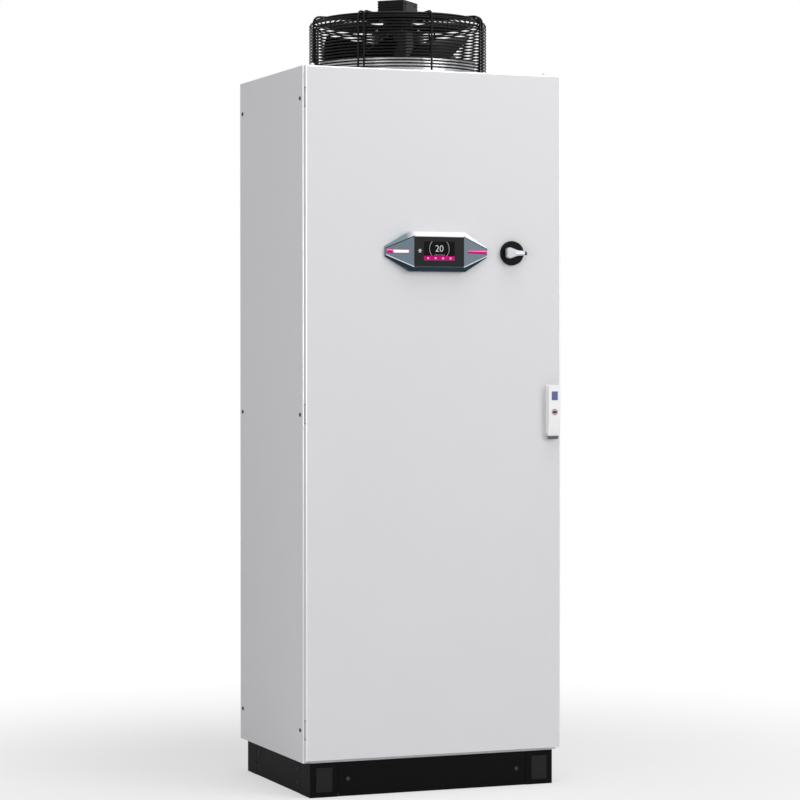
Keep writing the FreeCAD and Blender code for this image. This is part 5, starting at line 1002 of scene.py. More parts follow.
class CHILLER_OT_plinth(bpy.types.Operator):
    """Plinth with rounded edges, bare corner plates, trim screws and joint strips"""

    bl_idname = "chiller.plinth"
    bl_label = "Plinth"

    def execute(self, context):
        for node in ("plinth_corners", "plinth_end_trims", "plinth_side_trims"):
            softened(node, "Plinth coat", 0.0008)
        softened("plinth_corner_plates", "Plate satin", 0.0006)
        corner_low, corner_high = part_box("plinth_corners")
        trim_low, trim_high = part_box("plinth_end_trims")
        side_low, side_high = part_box("plinth_side_trims")
        fasteners = bmesh.new()
        end_inset = 0.03
        end_z = 0.05
        side_inset = 0.02
        side_levels = (0.032, 0.07)
        for x in (trim_low.x + end_inset, trim_high.x - end_inset):
            for y, direction in ((corner_low.y, -1), (corner_high.y, 1)):
                join_into(fasteners, screw((x, y, end_z), (0, direction, 0), 0.006, 0.0015))
        for side in (-1, 1):
            for y in (side_low.y + side_inset, side_high.y - side_inset):
                for z in side_levels:
                    join_into(fasteners, screw((side * corner_high.x, y, z), (side, 0, 0), 0.004, 0.0016))
        finish_piece("plinth_screws", fasteners, "cabinet", "Dark steel")
        self.seam_strips(trim_low.x, side_low.y, corner_high)
        return {"FINISHED"}

    def seam_strips(self, seam_x, seam_y, outer):
        """Lay a joint strip behind each seam between a corner and a trim."""
        half = 0.008
        front = 0.0064
        back = 0.0084
        low_z, high_z = 0.007, 0.093
        strips = bmesh.new()
        for side in (-1, 1):
            for end in (-1, 1):
                x = side * seam_x
                near, far = sorted((end * (outer.y - front), end * (outer.y - back)))
                join_into(strips, block((x - half, near, low_z), (x + half, far, high_z), 0.0003, 1))
                y = side * seam_y
                near, far = sorted((end * (outer.x - front), end * (outer.x - back)))
                join_into(strips, block((near, y - half, low_z), (far, y + half, high_z), 0.0003, 1))
        finish_piece("plinth_seam_strips", strips, "cabinet", "Plinth coat")


class CHILLER_OT_fan_guard(bpy.types.Operator):
    """Wire basket of rings on bent ribs"""

    bl_idname = "chiller.fan_guard"
    bl_label = "Fan guard"

    def execute(self, context):
        fan = context.scene.chiller_fan
        wire = fan.wire / 2
        outer = GUARD_HIGH.x
        base = GUARD_LOW.z
        inmost_ring = 0.095
        rib_end = 0.062
        sunk = wire * 0.8
        rib_radius = outer - fan.rib / 2
        ring_radius = outer - fan.rib - sunk
        top = GUARD_HIGH.z - fan.rib / 2
        guard = bmesh.new()
        places = []
        count = int((top - fan.shoulder - base) / fan.ring_pitch)
        for i in range(count):
            places.append((ring_radius, top - fan.shoulder - i * fan.ring_pitch))
        under = top - fan.rib / 2 - sunk
        for turn in (math.radians(30), math.radians(60)):
            places.append(
                (
                    ring_radius - fan.shoulder * (1 - math.cos(turn)),
                    under - fan.shoulder * (1 - math.sin(turn)),
                )
            )
        radius = ring_radius - fan.shoulder
        while radius > inmost_ring:
            places.append((radius, under))
            radius -= fan.top_pitch
        for radius, height in places:
            section = bmesh.ops.create_circle(
                guard,
                cap_ends=False,
                radius=wire,
                segments=8,
                matrix=Matrix.Translation((radius, 0, height)) @ TO_FRONT,
            )
            corners = section["verts"]
            lines = list({edge for corner in corners for edge in corner.link_edges})
            bmesh.ops.spin(
                guard,
                geom=corners + lines,
                cent=(0, 0, 0),
                axis=(0, 0, 1),
                angle=2 * math.pi,
                steps=80,
                use_merge=True,
            )
        bmesh.ops.remove_doubles(guard, verts=guard.verts, dist=MERGE)
        bmesh.ops.recalc_face_normals(guard, faces=guard.faces)
        spokes = 8
        for i in range(spokes):
            gaps = (0.0,) if i % 2 == 0 else (-fan.pair_gap / 2, fan.pair_gap / 2)
            for gap in gaps:
                path = [(rib_radius, gap, base), (rib_radius, gap, top), (rib_end, gap, top)]
                rib = rod(path, fan.rib / 2, fan.shoulder)
                join_into(guard, moved(rib, Matrix.Rotation(i * 2 * math.pi / spokes, 4, "Z")))
        moved(guard, Matrix.Translation((0, FAN_Y, 0)))
        finish_piece("wire_guard", guard, "cabinet", "Guard coat", ("fan_guard",), 60.0)
        return {"FINISHED"}


class CHILLER_OT_fan_nozzle(bpy.types.Operator):
    """Bright inlet ring with a flared mouth and a rolled lip"""

    bl_idname = "chiller.fan_nozzle"
    bl_label = "Fan nozzle"

    def execute(self, context):
        sheet = 0.002
        flange = NOZZLE_HIGH.x
        inner = 0.228
        lip = 0.008
        top = NOZZLE_HIGH.z
        flange_z = ROOF_TOP
        mouth = NOZZLE_LOW.z
        flare = 0.009
        ring = spun(
            [
                (inner, top),
                (inner, mouth + flare * 2),
                (inner + flare * 0.35, mouth + flare * 0.7),
                (inner + flare, mouth),
                (inner + flare + sheet, mouth),
                (inner + flare * 0.4 + sheet, mouth + flare),
                (inner + sheet, mouth + flare * 2),
                (inner + sheet, flange_z),
                (flange, flange_z),
                (flange, flange_z + sheet),
                (inner + sheet, flange_z + sheet),
                (inner + sheet, top - sheet),
                (inner + sheet + lip, top - sheet),
                (inner + sheet + lip, top),
            ],
            128,
            closed=True,
            width=0.0007,
        )
        centre_y = (NOZZLE_LOW.y + NOZZLE_HIGH.y) / 2
        moved(ring, Matrix.Translation((0, centre_y, 0)))
        finish_piece("inlet_ring", ring, "cabinet", "Nozzle steel", ("nozzle_ring",), 45.0)
        return {"FINISHED"}


class CHILLER_OT_fan_motor(bpy.types.Operator):
    """Motor plate and the ribbed electronics box on top of the fan"""

    bl_idname = "chiller.fan_motor"
    bl_label = "Fan motor"

    def execute(self, context):
        low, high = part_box("fan_motor")
        centre = Vector(((low.x + high.x) / 2, FAN_Y, 0))
        plate_z = GUARD_HIGH.z
        plate = 0.084
        neck = 0.044
        shaft = 0.01
        box_z = plate_z + 0.005
        neck_z = plate_z - 0.026
        shaft_z = plate_z - 0.024
        motor = spun(
            [
                (0.0, neck_z),
                (neck, neck_z),
                (neck, plate_z - 0.002),
                (plate, plate_z),
                (plate, box_z),
                (0.0, box_z),
            ],
            64,
            width=0.0012,
        )
        join_into(motor, cylinder(shaft, low.z, shaft_z, 32))
        half_x, half_y = 0.042, 0.056
        groove = 0.003
        housing = block((-half_x, -half_y + groove, box_z), (half_x, half_y - groove, high.z), 0.002)
        fins = 6
        pitch = (high.z - box_z) / fins
        for i in range(fins):
            start = box_z + i * pitch + pitch * 0.25
            end = min(start + pitch * 0.55, high.z)
            join_into(housing, block((-half_x, -half_y, start), (half_x, half_y, end), 0.0012))
        proud = 0.001
        for side in (-1, 1):
            cover = block(
                (side * half_x - proud, -half_y * 0.72, box_z + 0.008),
                (side * half_x + proud, half_y * 0.72, high.z - 0.006),
                0.0009,
            )
            join_into(housing, cover)
            for y in (-half_y * 0.6, half_y * 0.6):
                for z in (box_z + 0.013, high.z - 0.011):
                    spot = (side * (half_x + proud), y, z)
                    join_into(housing, screw(spot, (side, 0, 0), 0.0032, 0.0012))
        moved(housing, Matrix.Rotation(math.radians(-45), 4, "Z"))
        join_into(motor, housing)
        bolt_circle = 0.07
        for i in range(4):
            turn = math.radians(45 + 90 * i)
            spot = (bolt_circle * math.cos(turn), bolt_circle * math.sin(turn), box_z)
            join_into(motor, screw(spot, (0, 0, 1), 0.006, 0.003))
        moved(motor, Matrix.Translation(centre))
        finish_piece("motor_with_box", motor, "cabinet", "Motor casting", ("fan_motor",))
        return {"FINISHED"}


class CHILLER_OT_fan_rotor(bpy.types.Operator):
    """Motor can with twisted, swept blades"""

    bl_idname = "chiller.fan_rotor"
    bl_label = "Fan rotor"

    def execute(self, context):
        fan = context.scene.chiller_fan
        can = 0.078
        can_low = ROTOR_TOP - 0.14
        slant = 0.01
        bore = 0.012
        bore_z = ROTOR_TOP - 0.004
        root = can * 0.8
        tip = 0.224
        sheet = 0.004
        blade_z = NOZZLE_HIGH.z + 0.023
        rotor = spun(
            [
                (0.0, can_low),
                (can - slant, can_low),
                (can, can_low + slant),
                (can, ROTOR_TOP - slant),
                (can - slant, ROTOR_TOP),
                (bore, ROTOR_TOP),
                (bore, bore_z),
                (0.0, bore_z),
            ],
            72,
            width=0.003,
        )
        moved(rotor, Matrix.Translation((0, FAN_Y, 0)))
        finish_piece("motor_can", rotor, "fan_rotor", "Can gloss", ("fan_rotor",), 40.0)
        blades = bmesh.new()
        blade = bmesh.new()
        bmesh.ops.create_grid(blade, x_segments=18, y_segments=14, size=1.0)
        for corner in blade.verts:
            part = (corner.co.x + 1) / 2
            across = corner.co.y
            radius = root + (tip - root) * part
            half = (fan.root_chord + (fan.tip_chord - fan.root_chord) * part) / 2
            pitch = fan.root_pitch + (fan.tip_pitch - fan.root_pitch) * part
            lean = fan.lean * part * part
            camber = fan.camber * (1 - across * across)
            along = half * across
            turn = lean + (along * math.cos(pitch) - camber * math.sin(pitch)) / radius
            height = along * math.sin(pitch) + camber * math.cos(pitch)
            corner.co = (radius * math.cos(turn), radius * math.sin(turn), blade_z + height)
        bmesh.ops.recalc_face_normals(blade, faces=blade.faces)
        bmesh.ops.solidify(blade, geom=blade.faces[:], thickness=sheet)
        bmesh.ops.recalc_face_normals(blade, faces=blade.faces)
        soften(blade, 0.0015, 2, 60.0)
        set_round(blades, blade, fan.blades)
        moved(blades, Matrix.Translation((0, FAN_Y, 0)))
        finish_piece("fan_blades", blades, "fan_rotor", "Blade coat", ("fan_rotor",), 40.0)
        return {"FINISHED"}


class CHILLER_OT_operating_panel(bpy.types.Operator):
    """Housing with a slanted rim, glass, light bars, and lines of painted shadow and highlight along the
    wings of the operating panel
    """

    bl_idname = "chiller.operating_panel"
    bl_label = "Operating panel"

    def execute(self, context):
        panel = context.scene.chiller_panel
        housing = bmesh.new()
        back = self.rim(housing, panel, 0.0, 0.0, 0.0)
        edge = self.rim(housing, panel, 0.0, 0.0, panel.tip_drop)
        front = self.rim(housing, panel, panel.bevel, panel.tip_bevel, panel.tip_drop)
        self.skin(housing, back, edge, front)
        for corner in back:
            corner.co.y = DOOR_FACE
        for corner in edge:
            corner.co.y += panel.rim_depth
        bmesh.ops.recalc_face_normals(housing, faces=housing.faces)
        soften(housing, 0.003, 4, 8.0, lambda co: co.y < DOOR_FACE - 0.001)
        half_x, half_z = 0.07, 0.036
        rear = block(
            (-half_x, DOOR_FACE, PANEL_Z - half_z), (half_x, HOUSING_HIGH.y, PANEL_Z + half_z), 0.002
        )
        join_into(housing, rear)
        finish_piece(
            "panel_housing_dressed", housing, "door", "Housing slate", ("panel_housing",), 50.0
        )
        glass = block(GLASS_LOW, GLASS_HIGH, 0.0005)
        finish_piece("panel_glass_dressed", glass, "door", "Panel glass", ("panel_glass",))
        bars = bmesh.new()
        bar_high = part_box("panel_light_bars")[1]
        half = bar_high.z - PANEL_Z
        root = self.flat(panel, panel.bevel)
        lean = math.atan2(panel.tip_drop, self.tip(panel, panel.tip_bevel)[0] - root)
        start = 0.0121
        blunt = 0.004
        end = (bar_high.x - root) / math.cos(lean)
        for side in (-1, 1):
            outline = [
                (side * end, -half),
                (side * end, half),
                (side * (start + blunt), half * 0.7),
                (side * start, half * 0.3),
                (side * start, -half * 0.3),
                (side * (start + blunt), -half * 0.7),
            ]
            bar = slab(outline, 0.003, 0.0008, 2)
            moved(bar, Matrix.Translation((0, 0.0024, 0)))
            moved(bar, Matrix.Rotation(side * lean, 4, "Z"))
            join_into(bars, moved(bar, Matrix.Translation((side * root, HOUSING_LOW.y, PANEL_Z))))
        finish_piece("light_bars_dressed", bars, "door", "Light bar", ("panel_light_bars",))
        self.seams(panel)
        return {"FINISHED"}

    def flat(self, panel, inset):
        """Return half the length of the housing's level edges at an inset."""
        return panel.level - inset * 0.6

    def tip(self, panel, inset):
        """Return how far out and how high the corners of a wing's tip lie at an inset."""
        return HOUSING_HIGH.x - inset * 0.3, panel.tip - inset

    def rim(self, bm, panel, inset, tip_inset, tip_drop):
        """Draw the housing's long hexagon, drawn in and dropped back at its tips."""
        half_width, tip = self.tip(panel, tip_inset)
        half_height = HOUSING_HIGH.z - PANEL_Z - inset
        flat = self.flat(panel, inset)
        places = [(half_width, tip), (flat, half_height), (-flat, half_height), (-half_width, tip)]
        places += [(x, -z) for x, z in reversed(places)]
        corners = []
        for x, z in places:
            depth = HOUSING_LOW.y + (tip_drop if abs(x) > flat else 0.0)
            corners.append(bm.verts.new((x, depth, PANEL_Z + z)))
        return corners

    def skin(self, bm, back, edge, front):
        """Close the housing's wall, its slanted rim and its face."""
        for near, far in ((back, edge), (edge, front)):
            for i in range(len(near)):
                bm.faces.new([near[i - 1], near[i], far[i], far[i - 1]])
        bm.faces.new([front[1], front[2], front[5], front[6]])
        bm.faces.new([front[0], front[1], front[6], front[7]])
        bm.faces.new([front[2], front[3], front[4], front[5]])

    def seams(self, panel):
        """Lay a dark line of painted shadow over each wing and a bright line of painted highlight under it.
        """
        half_height = HOUSING_HIGH.z - PANEL_Z - panel.bevel
        tip_x, tip_z = self.tip(panel, panel.tip_bevel)
        root = self.flat(panel, panel.bevel)
        front = HOUSING_LOW.y + 0.0006
        # Upper: painted shadow line; lower: painted highlight line.
        for name, up, material in (("upper", 1, "Seam navy"), ("lower", -1, "Seam silver")):
            lines = bmesh.new()
            for side in (-1, 1):
                ends = [
                    (side * root, front, PANEL_Z + up * half_height),
                    (side * tip_x, front + panel.tip_drop, PANEL_Z + up * tip_z),
                ]
                join_into(lines, rod(ends, 0.0014, 0.0))
            finish_piece(name + "_wing_painted_lines", lines, "door", material)


class CHILLER_OT_display(bpy.types.Operator):
    """Screen with a plain number, two arcs, dashes, rings, a star and a lower bar"""

    bl_idname = "chiller.display"
    bl_label = "Display"

    def execute(self, context):
        panel = context.scene.chiller_panel
        face = GLASS_LOW.y
        half_x = panel.screen_width / 2
        screen_z = PANEL_Z + 0.002
        low = screen_z - panel.screen_height / 2
        high = low + panel.screen_height
        layer = 0.00025
        screen = block((-half_x, face - layer, low), (half_x, face + layer, high), 0.0001, 1)
        finish_piece("screen", screen, "door", "Screen black")
        front = face - layer
        bar = block((-half_x, front - layer, low), (half_x, front, low + panel.bar_height), 0.0001, 1)
        finish_piece("screen_bar", bar, "door", "Screen accent")
        middle = (low + panel.bar_height + high) / 2
        marks = bmesh.new()
        self.arcs(marks, Vector((0, front - layer, middle)))
        dash_x, dash_pitch, dash_width = -0.015, 0.005, 0.0022
        dash_low, dash_high = middle - 0.0185, middle - 0.0172
        for i in range(7):
            x = dash_x + i * dash_pitch
            join_into(marks, block((x, front - layer, dash_low), (x + dash_width, front, dash_high)))
        inner, outer = 0.0012, 0.0027
        for i in range(4):
            x = -half_x + panel.screen_width * (0.13 + i * 0.245)
            z = low + panel.bar_height / 2
            icon = tube(inner, outer, -layer, layer, 20)
            join_into(marks, moved(icon, Matrix.Translation((x, front - layer, z)) @ TO_FRONT))
        star_place = Matrix.Translation((-0.0605, face - layer, screen_z))
        half_long, half_wide = 0.006, 0.0009
        for i in range(3):
            stroke = block((-half_long, -layer, -half_wide), (half_long, layer, half_wide))
            join_into(marks, moved(stroke, star_place @ Matrix.Rotation(i * math.pi / 3, 4, "Y")))
        text = bpy.data.curves.new("reading", "FONT")
        text.body = str(panel.value)
        text.size = 0.027
        text.align_x = "CENTER"
        text.align_y = "CENTER"
        text.extrude = layer
        text.offset = -0.0003
        join_into(marks, moved(meshed(text), Matrix.Translation((0, front - layer, middle)) @ TO_FRONT))
        bmesh.ops.recalc_face_normals(marks, faces=marks.faces)
        finish_piece("screen_marks", marks, "door", "Screen white")
        return {"FINISHED"}

    def arcs(self, marks, place):
        """Draw a thin arc on each side of the number."""
        sweep = math.radians(84)
        for side in (-1, 1):
            arc = bmesh.new()
            corners = [arc.verts.new((radius, 0, 0)) for radius in (0.0303, 0.0311)]
            arc.edges.new(corners)
            start = sweep / 2
            bmesh.ops.rotate(arc, cent=(0, 0, 0), matrix=Matrix.Rotation(start, 3, "Y"), verts=arc.verts)
            bmesh.ops.spin(
                arc,
                geom=arc.verts[:] + arc.edges[:],
                cent=(0, 0, 0),
                axis=(0, -1, 0),
                angle=sweep,
                steps=24,
            )
            if side < 0:
                half_turn = Matrix.Rotation(math.pi, 3, "Y")
                bmesh.ops.rotate(arc, cent=(0, 0, 0), matrix=half_turn, verts=arc.verts)
            join_into(marks, moved(arc, Matrix.Translation(place)))


class CHILLER_OT_main_switch(bpy.types.Operator):
    """Rotary main switch with its rosette, nose and silver grip"""

    bl_idname = "chiller.main_switch"
    bl_label = "Main switch"

    def execute(self, context):
        centre = Vector((SWITCH_X, 0, PANEL_Z))
        radius = (ROSETTE_HIGH.x - ROSETTE_LOW.x) / 2
        bore = 0.0113
        thick = 0.008
        rosette = spun(
            [
                (bore, 0.0),
                (radius, 0.0),
                (radius, thick / 2),
                (radius * 0.97, thick),
                (bore, thick),
            ],
            96,
            closed=True,
            width=0.0008,
        )
        moved(rosette, Matrix.Translation(centre + Vector((0, DOOR_FACE, 0))) @ TO_FRONT)
        finish_piece("rosette", rosette, "door", "Black plastic", ("switch_rosette",))
        disc = 0.0345
        thick = 0.006
        seat = Matrix.Translation(centre + Vector((0, KNOB_LOW.y + thick, 0)))
        knob = cylinder(disc, 0.0, thick, 96, 0.0014)
        moved(knob, seat @ TO_FRONT)
        nose = KNOB_HIGH.x - SWITCH_X
        nose_root, root_half, nose_half = 0.02, 0.0078, 0.0045
        tab = [(nose_root, -root_half), (nose, -nose_half), (nose, nose_half), (nose_root, root_half)]
        join_into(knob, moved(slab(tab, thick, 0.0014), seat))
        inner, outer, deep = 0.0055, 0.011, 0.022
        join_into(knob, moved(tube(inner, outer, 0.0, deep, 48, 0.0005), seat @ TO_REAR))
        finish_piece("knob", knob, "switch_knob", "Black plastic", ("switch_knob",))
        left = SWITCH_X - GRIP_LOW.x
        right = GRIP_HIGH.x - SWITCH_X
        wide = GRIP_HIGH.z - PANEL_Z
        narrow = 0.0065
        outline = [
            (-left, -wide * 0.8),
            (-left * 0.6, -wide),
            (right * 0.25, -narrow * 1.35),
            (right, -narrow),
            (right, narrow),
            (right * 0.25, narrow * 1.35),
            (-left * 0.6, wide),
            (-left, wide * 0.8),
        ]
        height = GRIP_HIGH.y - GRIP_LOW.y
        grip = slab(outline, height - 0.0008, 0.0035, 4)
        moved(grip, Matrix.Translation(centre + Vector((0, GRIP_HIGH.y, 0))))
        finish_piece("grip", grip, "switch_knob", "Grip silver", ("switch_grip",), 50.0)
        start, end, half = 0.002, right * 0.97, 0.0034
        thick = 0.001
        stripe = slab([(start, -half), (end, -half), (end, half), (start, half)], thick, 0.0003, 2)
        moved(stripe, Matrix.Translation(centre + Vector((0, GRIP_LOW.y + thick, 0))))
        finish_piece("grip_stripe", stripe, "switch_knob", "White plastic")
        return {"FINISHED"}


class CHILLER_OT_handle(bpy.types.Operator):
    """Lifting handle with its bare plate, lock insert and a toe coloured dark as painted shade"""

    bl_idname = "chiller.handle"
    bl_label = "Handle"

    def execute(self, context):
        softened("handle_base", "White plastic", 0.001)
        softened("handle_lever", "White plastic", 0.0014, 3, self.on_outside)
        top = LEVER_HIGH.z
        half = 0.0098
        proud = 0.0005
        plate = block(
            (HANDLE_X - half, LEVER_LOW.y - proud, top - 0.045),
            (HANDLE_X + half, LEVER_LOW.y + proud, top - 0.019),
            0.0004,
        )
        finish_piece("bare_plate", plate, "handle_lever", "Plate blue")
        centre = (INSERT_LOW + INSERT_HIGH) / 2
        radius = (INSERT_HIGH.x - INSERT_LOW.x) / 2
        depth = INSERT_HIGH.y - INSERT_LOW.y
        insert = spun(
            [
                (0.0, 0.0),
                (radius, 0.0),
                (radius, depth),
                (radius * 0.82, depth),
                (radius * 0.78, depth - 0.0007),
                (radius * 0.42, depth - 0.0007),
                (radius * 0.4, depth - 0.0002),
                (0.0, depth - 0.0002),
            ],
            48,
            width=0.0003,
            segments=2,
        )
        moved(insert, Matrix.Translation((centre.x, INSERT_HIGH.y, centre.z)) @ TO_FRONT)
        finish_piece("lock_barrel", insert, "lock_insert", "Lock insert", ("lock_insert",))
        # The keyway is a dark disc and bar on the insert's face: painted shade in place of the hole.
        slot = cylinder(0.0038, 0.0, 0.0005, 32)
        moved(slot, Matrix.Translation((centre.x, INSERT_LOW.y + 0.0004, centre.z)) @ TO_FRONT)
        bit = block(
            (centre.x - 0.0072, INSERT_LOW.y - 0.0001, centre.z - 0.002),
            (centre.x + 0.0072, INSERT_LOW.y + 0.0004, centre.z + 0.002),
            0.0003,
        )
        join_into(slot, bit)
        finish_piece("key_slot", slot, "lock_insert", "Key slot")
        self.toe()
        return {"FINISHED"}

    def toe(self):
        """Build the finger toe that slopes back under the lever's lower end, coloured dark as painted shade.
        """
        half = 0.015
        drop = 0.009
        back = LEVER_HIGH.y - 0.002
        toe = block(
            (HANDLE_X - half, LEVER_LOW.y + 0.0015, LEVER_LOW.z - drop),
            (HANDLE_X + half, back, LEVER_LOW.z + 0.0005),
            0.001,
        )
        for corner in toe.verts:
            if corner.co.z < LEVER_LOW.z - drop / 2:
                corner.co.y = back + (corner.co.y - back) * 0.4
        finish_piece("lever_shaded_toe", toe, "handle_lever", "Rest plastic")

    def on_outside(self, place):
        """Tell whether a corner lies on the lever's outer sides and not at the lock hole."""
        hole_half = 0.012
        hole_margin = 0.02
        lever_half = 0.019
        near = 0.0005
        aside = abs(place.x - HANDLE_X)
        above = place.z > INSERT_HIGH.z + hole_margin
        below = place.z < INSERT_LOW.z - hole_margin
        return (aside > hole_half or above or below) and abs(aside - lever_half) < near


class CHILLER_OT_water_ports(bpy.types.Operator):
    """Threaded water connections with their lock nuts"""

    bl_idname = "chiller.water_ports"
    bl_label = "Water ports"

    def execute(self, context):
        low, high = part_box("water_ports")
        nut = 0.036
        places = [(high.x - nut, high.z), (low.x + nut, low.z)]
        across = nut * math.sin(math.radians(60))
        ports = bmesh.new()
        wall = DOOR_HIGH.y - DOOR_LOW.y
        reach = high.y - REAR_FACE
        bore, shank, valley, crest = 0.016, 0.0238, 0.0232, 0.0241
        nut_height = 0.014
        thread = 0.0145
        turns = 9
        pitch = (reach - 0.018) / turns
        for x, edge_z in places:
            z = edge_z - across if edge_z == high.z else edge_z + across
            profile = [(bore, -wall), (shank, -wall), (shank, nut_height)]
            for i in range(turns):
                profile.append((valley, thread + i * pitch))
                profile.append((crest, thread + (i + 0.5) * pitch))
            profile += [(valley, reach - 0.002), (0.0215, reach), (bore, reach)]
            nipple = spun(profile, 64, closed=True)
            hexagon = bmesh.new()
            bmesh.ops.create_cone(
                hexagon, cap_ends=True, segments=6, radius1=nut, radius2=nut, depth=nut_height
            )
            soften(hexagon, 0.0014, 3)
            bmesh.ops.translate(hexagon, vec=(0, 0, nut_height / 2), verts=hexagon.verts)
            join_into(nipple, hexagon)
            join_into(ports, moved(nipple, Matrix.Translation((x, REAR_FACE, z)) @ TO_REAR))
        finish_piece("threaded_ports", ports, "cabinet", "Zinc plate", ("water_ports",))
        return {"FINISHED"}


class CHILLER_OT_frame(bpy.types.Operator):
    """Frame, base and partitions with rounded folds"""

    bl_idname = "chiller.frame"
    bl_label = "Frame"

    def execute(self, context):
        soften_all(FRAME_EDGES)
        return {"FINISHED"}


class CHILLER_OT_door_fittings(bpy.types.Operator):
    """Stiffeners, hinges and lock behind the door"""

    bl_idname = "chiller.door_fittings"
    bl_label = "Door fittings"

    def execute(self, context):
        soften_all(DOOR_EDGES)
        return {"FINISHED"}


class CHILLER_OT_electrical(bpy.types.Operator):
    """Tray with ducts, an inverter with its keypad, and devices with toggles and clamp screws"""

    bl_idname = "chiller.electrical"
    bl_label = "Electrical"

    def execute(self, context):
        soften_all(ELECTRICAL_EDGES)
        self.device_fronts()
        self.inverter_front()
        return {"FINISHED"}

    def device_fronts(self):
        """Add a toggle and clamp screws to each device."""
        gear = copied("control_gear")
        boxes = islands(gear)
        gear.free()
        toggles = bmesh.new()
        screws = bmesh.new()
        widest_device = 0.12
        widest_terminal = 0.015
        half_toggle = 0.007
        for low, high in boxes:
            width = high.x - low.x
            height = high.z - low.z
            if width > widest_device:
                continue
            middle = (low + high) / 2
            if width > widest_terminal:
                half = width * 0.22
                lever = block(
                    (middle.x - half, low.y - 0.004, middle.z - half_toggle),
                    (middle.x + half, low.y + 0.001, middle.z + half_toggle),
                    0.001,
                )
                join_into(toggles, lever)
            face = low.y + (high.y - low.y) * 0.3
            for z in (middle.z - height * 0.4, middle.z + height * 0.4):
                radius = min(0.004, width * 0.3)
                join_into(screws, screw((middle.x, face, z), (0, -1, 0), radius, 0.0012))
        finish_piece("device_toggles", toggles, "cabinet", "Black plastic")
        finish_piece("clamp_screws", screws, "cabinet", "Zinc plate")

    def inverter_front(self):
        """Add a keypad with a small window and a status light."""
        low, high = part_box("inverter")
        x = (low.x + high.x) / 2
        z = low.z + (high.z - low.z) * 0.62
        face = low.y
        half = 0.04
        pad_face = face - 0.003
        pad = block((x - half, pad_face, z - 0.05), (x + half, face + 0.001, z + 0.03), 0.0015)
        finish_piece("keypad", pad, "cabinet", "Grey plastic")
        half = 0.03
        seat = face - 0.0025
        window = block((x - half, face - 0.0036, z + 0.002), (x + half, seat, z + 0.022), 0.0004)
        finish_piece("keypad_window", window, "cabinet", "Panel glass")
        keys = bmesh.new()
        half_x, half_z = 0.007, 0.005
        column_pitch, row_pitch = 0.02, 0.018
        for column in range(3):
            for row in range(2):
                key_x = x + (column - 1) * column_pitch
                key_z = z - 0.016 - row * row_pitch
                key = block(
                    (key_x - half_x, face - 0.0044, key_z - half_z),
                    (key_x + half_x, seat, key_z + half_z),
                    0.0008,
                )
                join_into(keys, key)
        finish_piece("keypad_keys", keys, "cabinet", "Black plastic")
        light = spun([(0.0025, 0.0), (0.0025, 0.001), (0.0015, 0.002), (0.0, 0.0022)], 20)
        moved(light, Matrix.Translation((x + 0.036, pad_face, z + 0.022)) @ TO_FRONT)
        finish_piece("status_light", light, "cabinet", "Status green")


class CHILLER_OT_cooling(bpy.types.Operator):
    """Compressor shell, insulated evaporator and copper lines"""

    bl_idname = "chiller.cooling"
    bl_label = "Cooling circuit"

    def execute(self, context):
        soften_all(COOLING_EDGES)
        low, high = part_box("compressor")
        half_foot = (high.x - low.x) / 2
        middle = Vector((low.x + half_foot, high.y - half_foot, 0))
        radius = 0.088
        bottom = low.z + 0.006
        dome = radius / 3
        shell = spun(
            [
                (0.0, bottom),
                (radius * 0.8, bottom),
                (radius, bottom + dome),
                (radius, high.z - dome),
                (radius * 0.75, high.z - dome / 3),
                (radius * 0.4, high.z),
                (0.0, high.z),
            ],
            72,
            width=0.012,
            segments=4,
        )
        for z in (bottom + dome * 1.4, high.z - dome * 1.3):
            seam = spun([(radius - 0.001, z - 0.003), (radius + 0.0014, z), (radius - 0.001, z + 0.003)], 72)
            join_into(shell, seam)
        moved(shell, Matrix.Translation(middle))
        foot = block(
            (low.x, high.y - 2 * half_foot, low.z), (high.x, high.y, bottom), 0.002
        )
        join_into(shell, foot)
        centre_z = (bottom + high.z) / 2
        half = 0.035
        front = low.y
        terminal = block(
            (middle.x - half, front + 0.004, centre_z - half),
            (middle.x + half, middle.y - radius / 2, centre_z + half),
            0.004,
            3,
        )
        join_into(shell, terminal)
        half += 0.001
        lid = block(
            (middle.x - half, front, centre_z - half),
            (middle.x + half, front + 0.005, centre_z + half),
            0.002,
        )
        join_into(shell, lid)
        paint = "Compressor paint"
        finish_piece("compressor_shell", shell, "cabinet", paint, ("compressor",), 40.0)
        return {"FINISHED"}


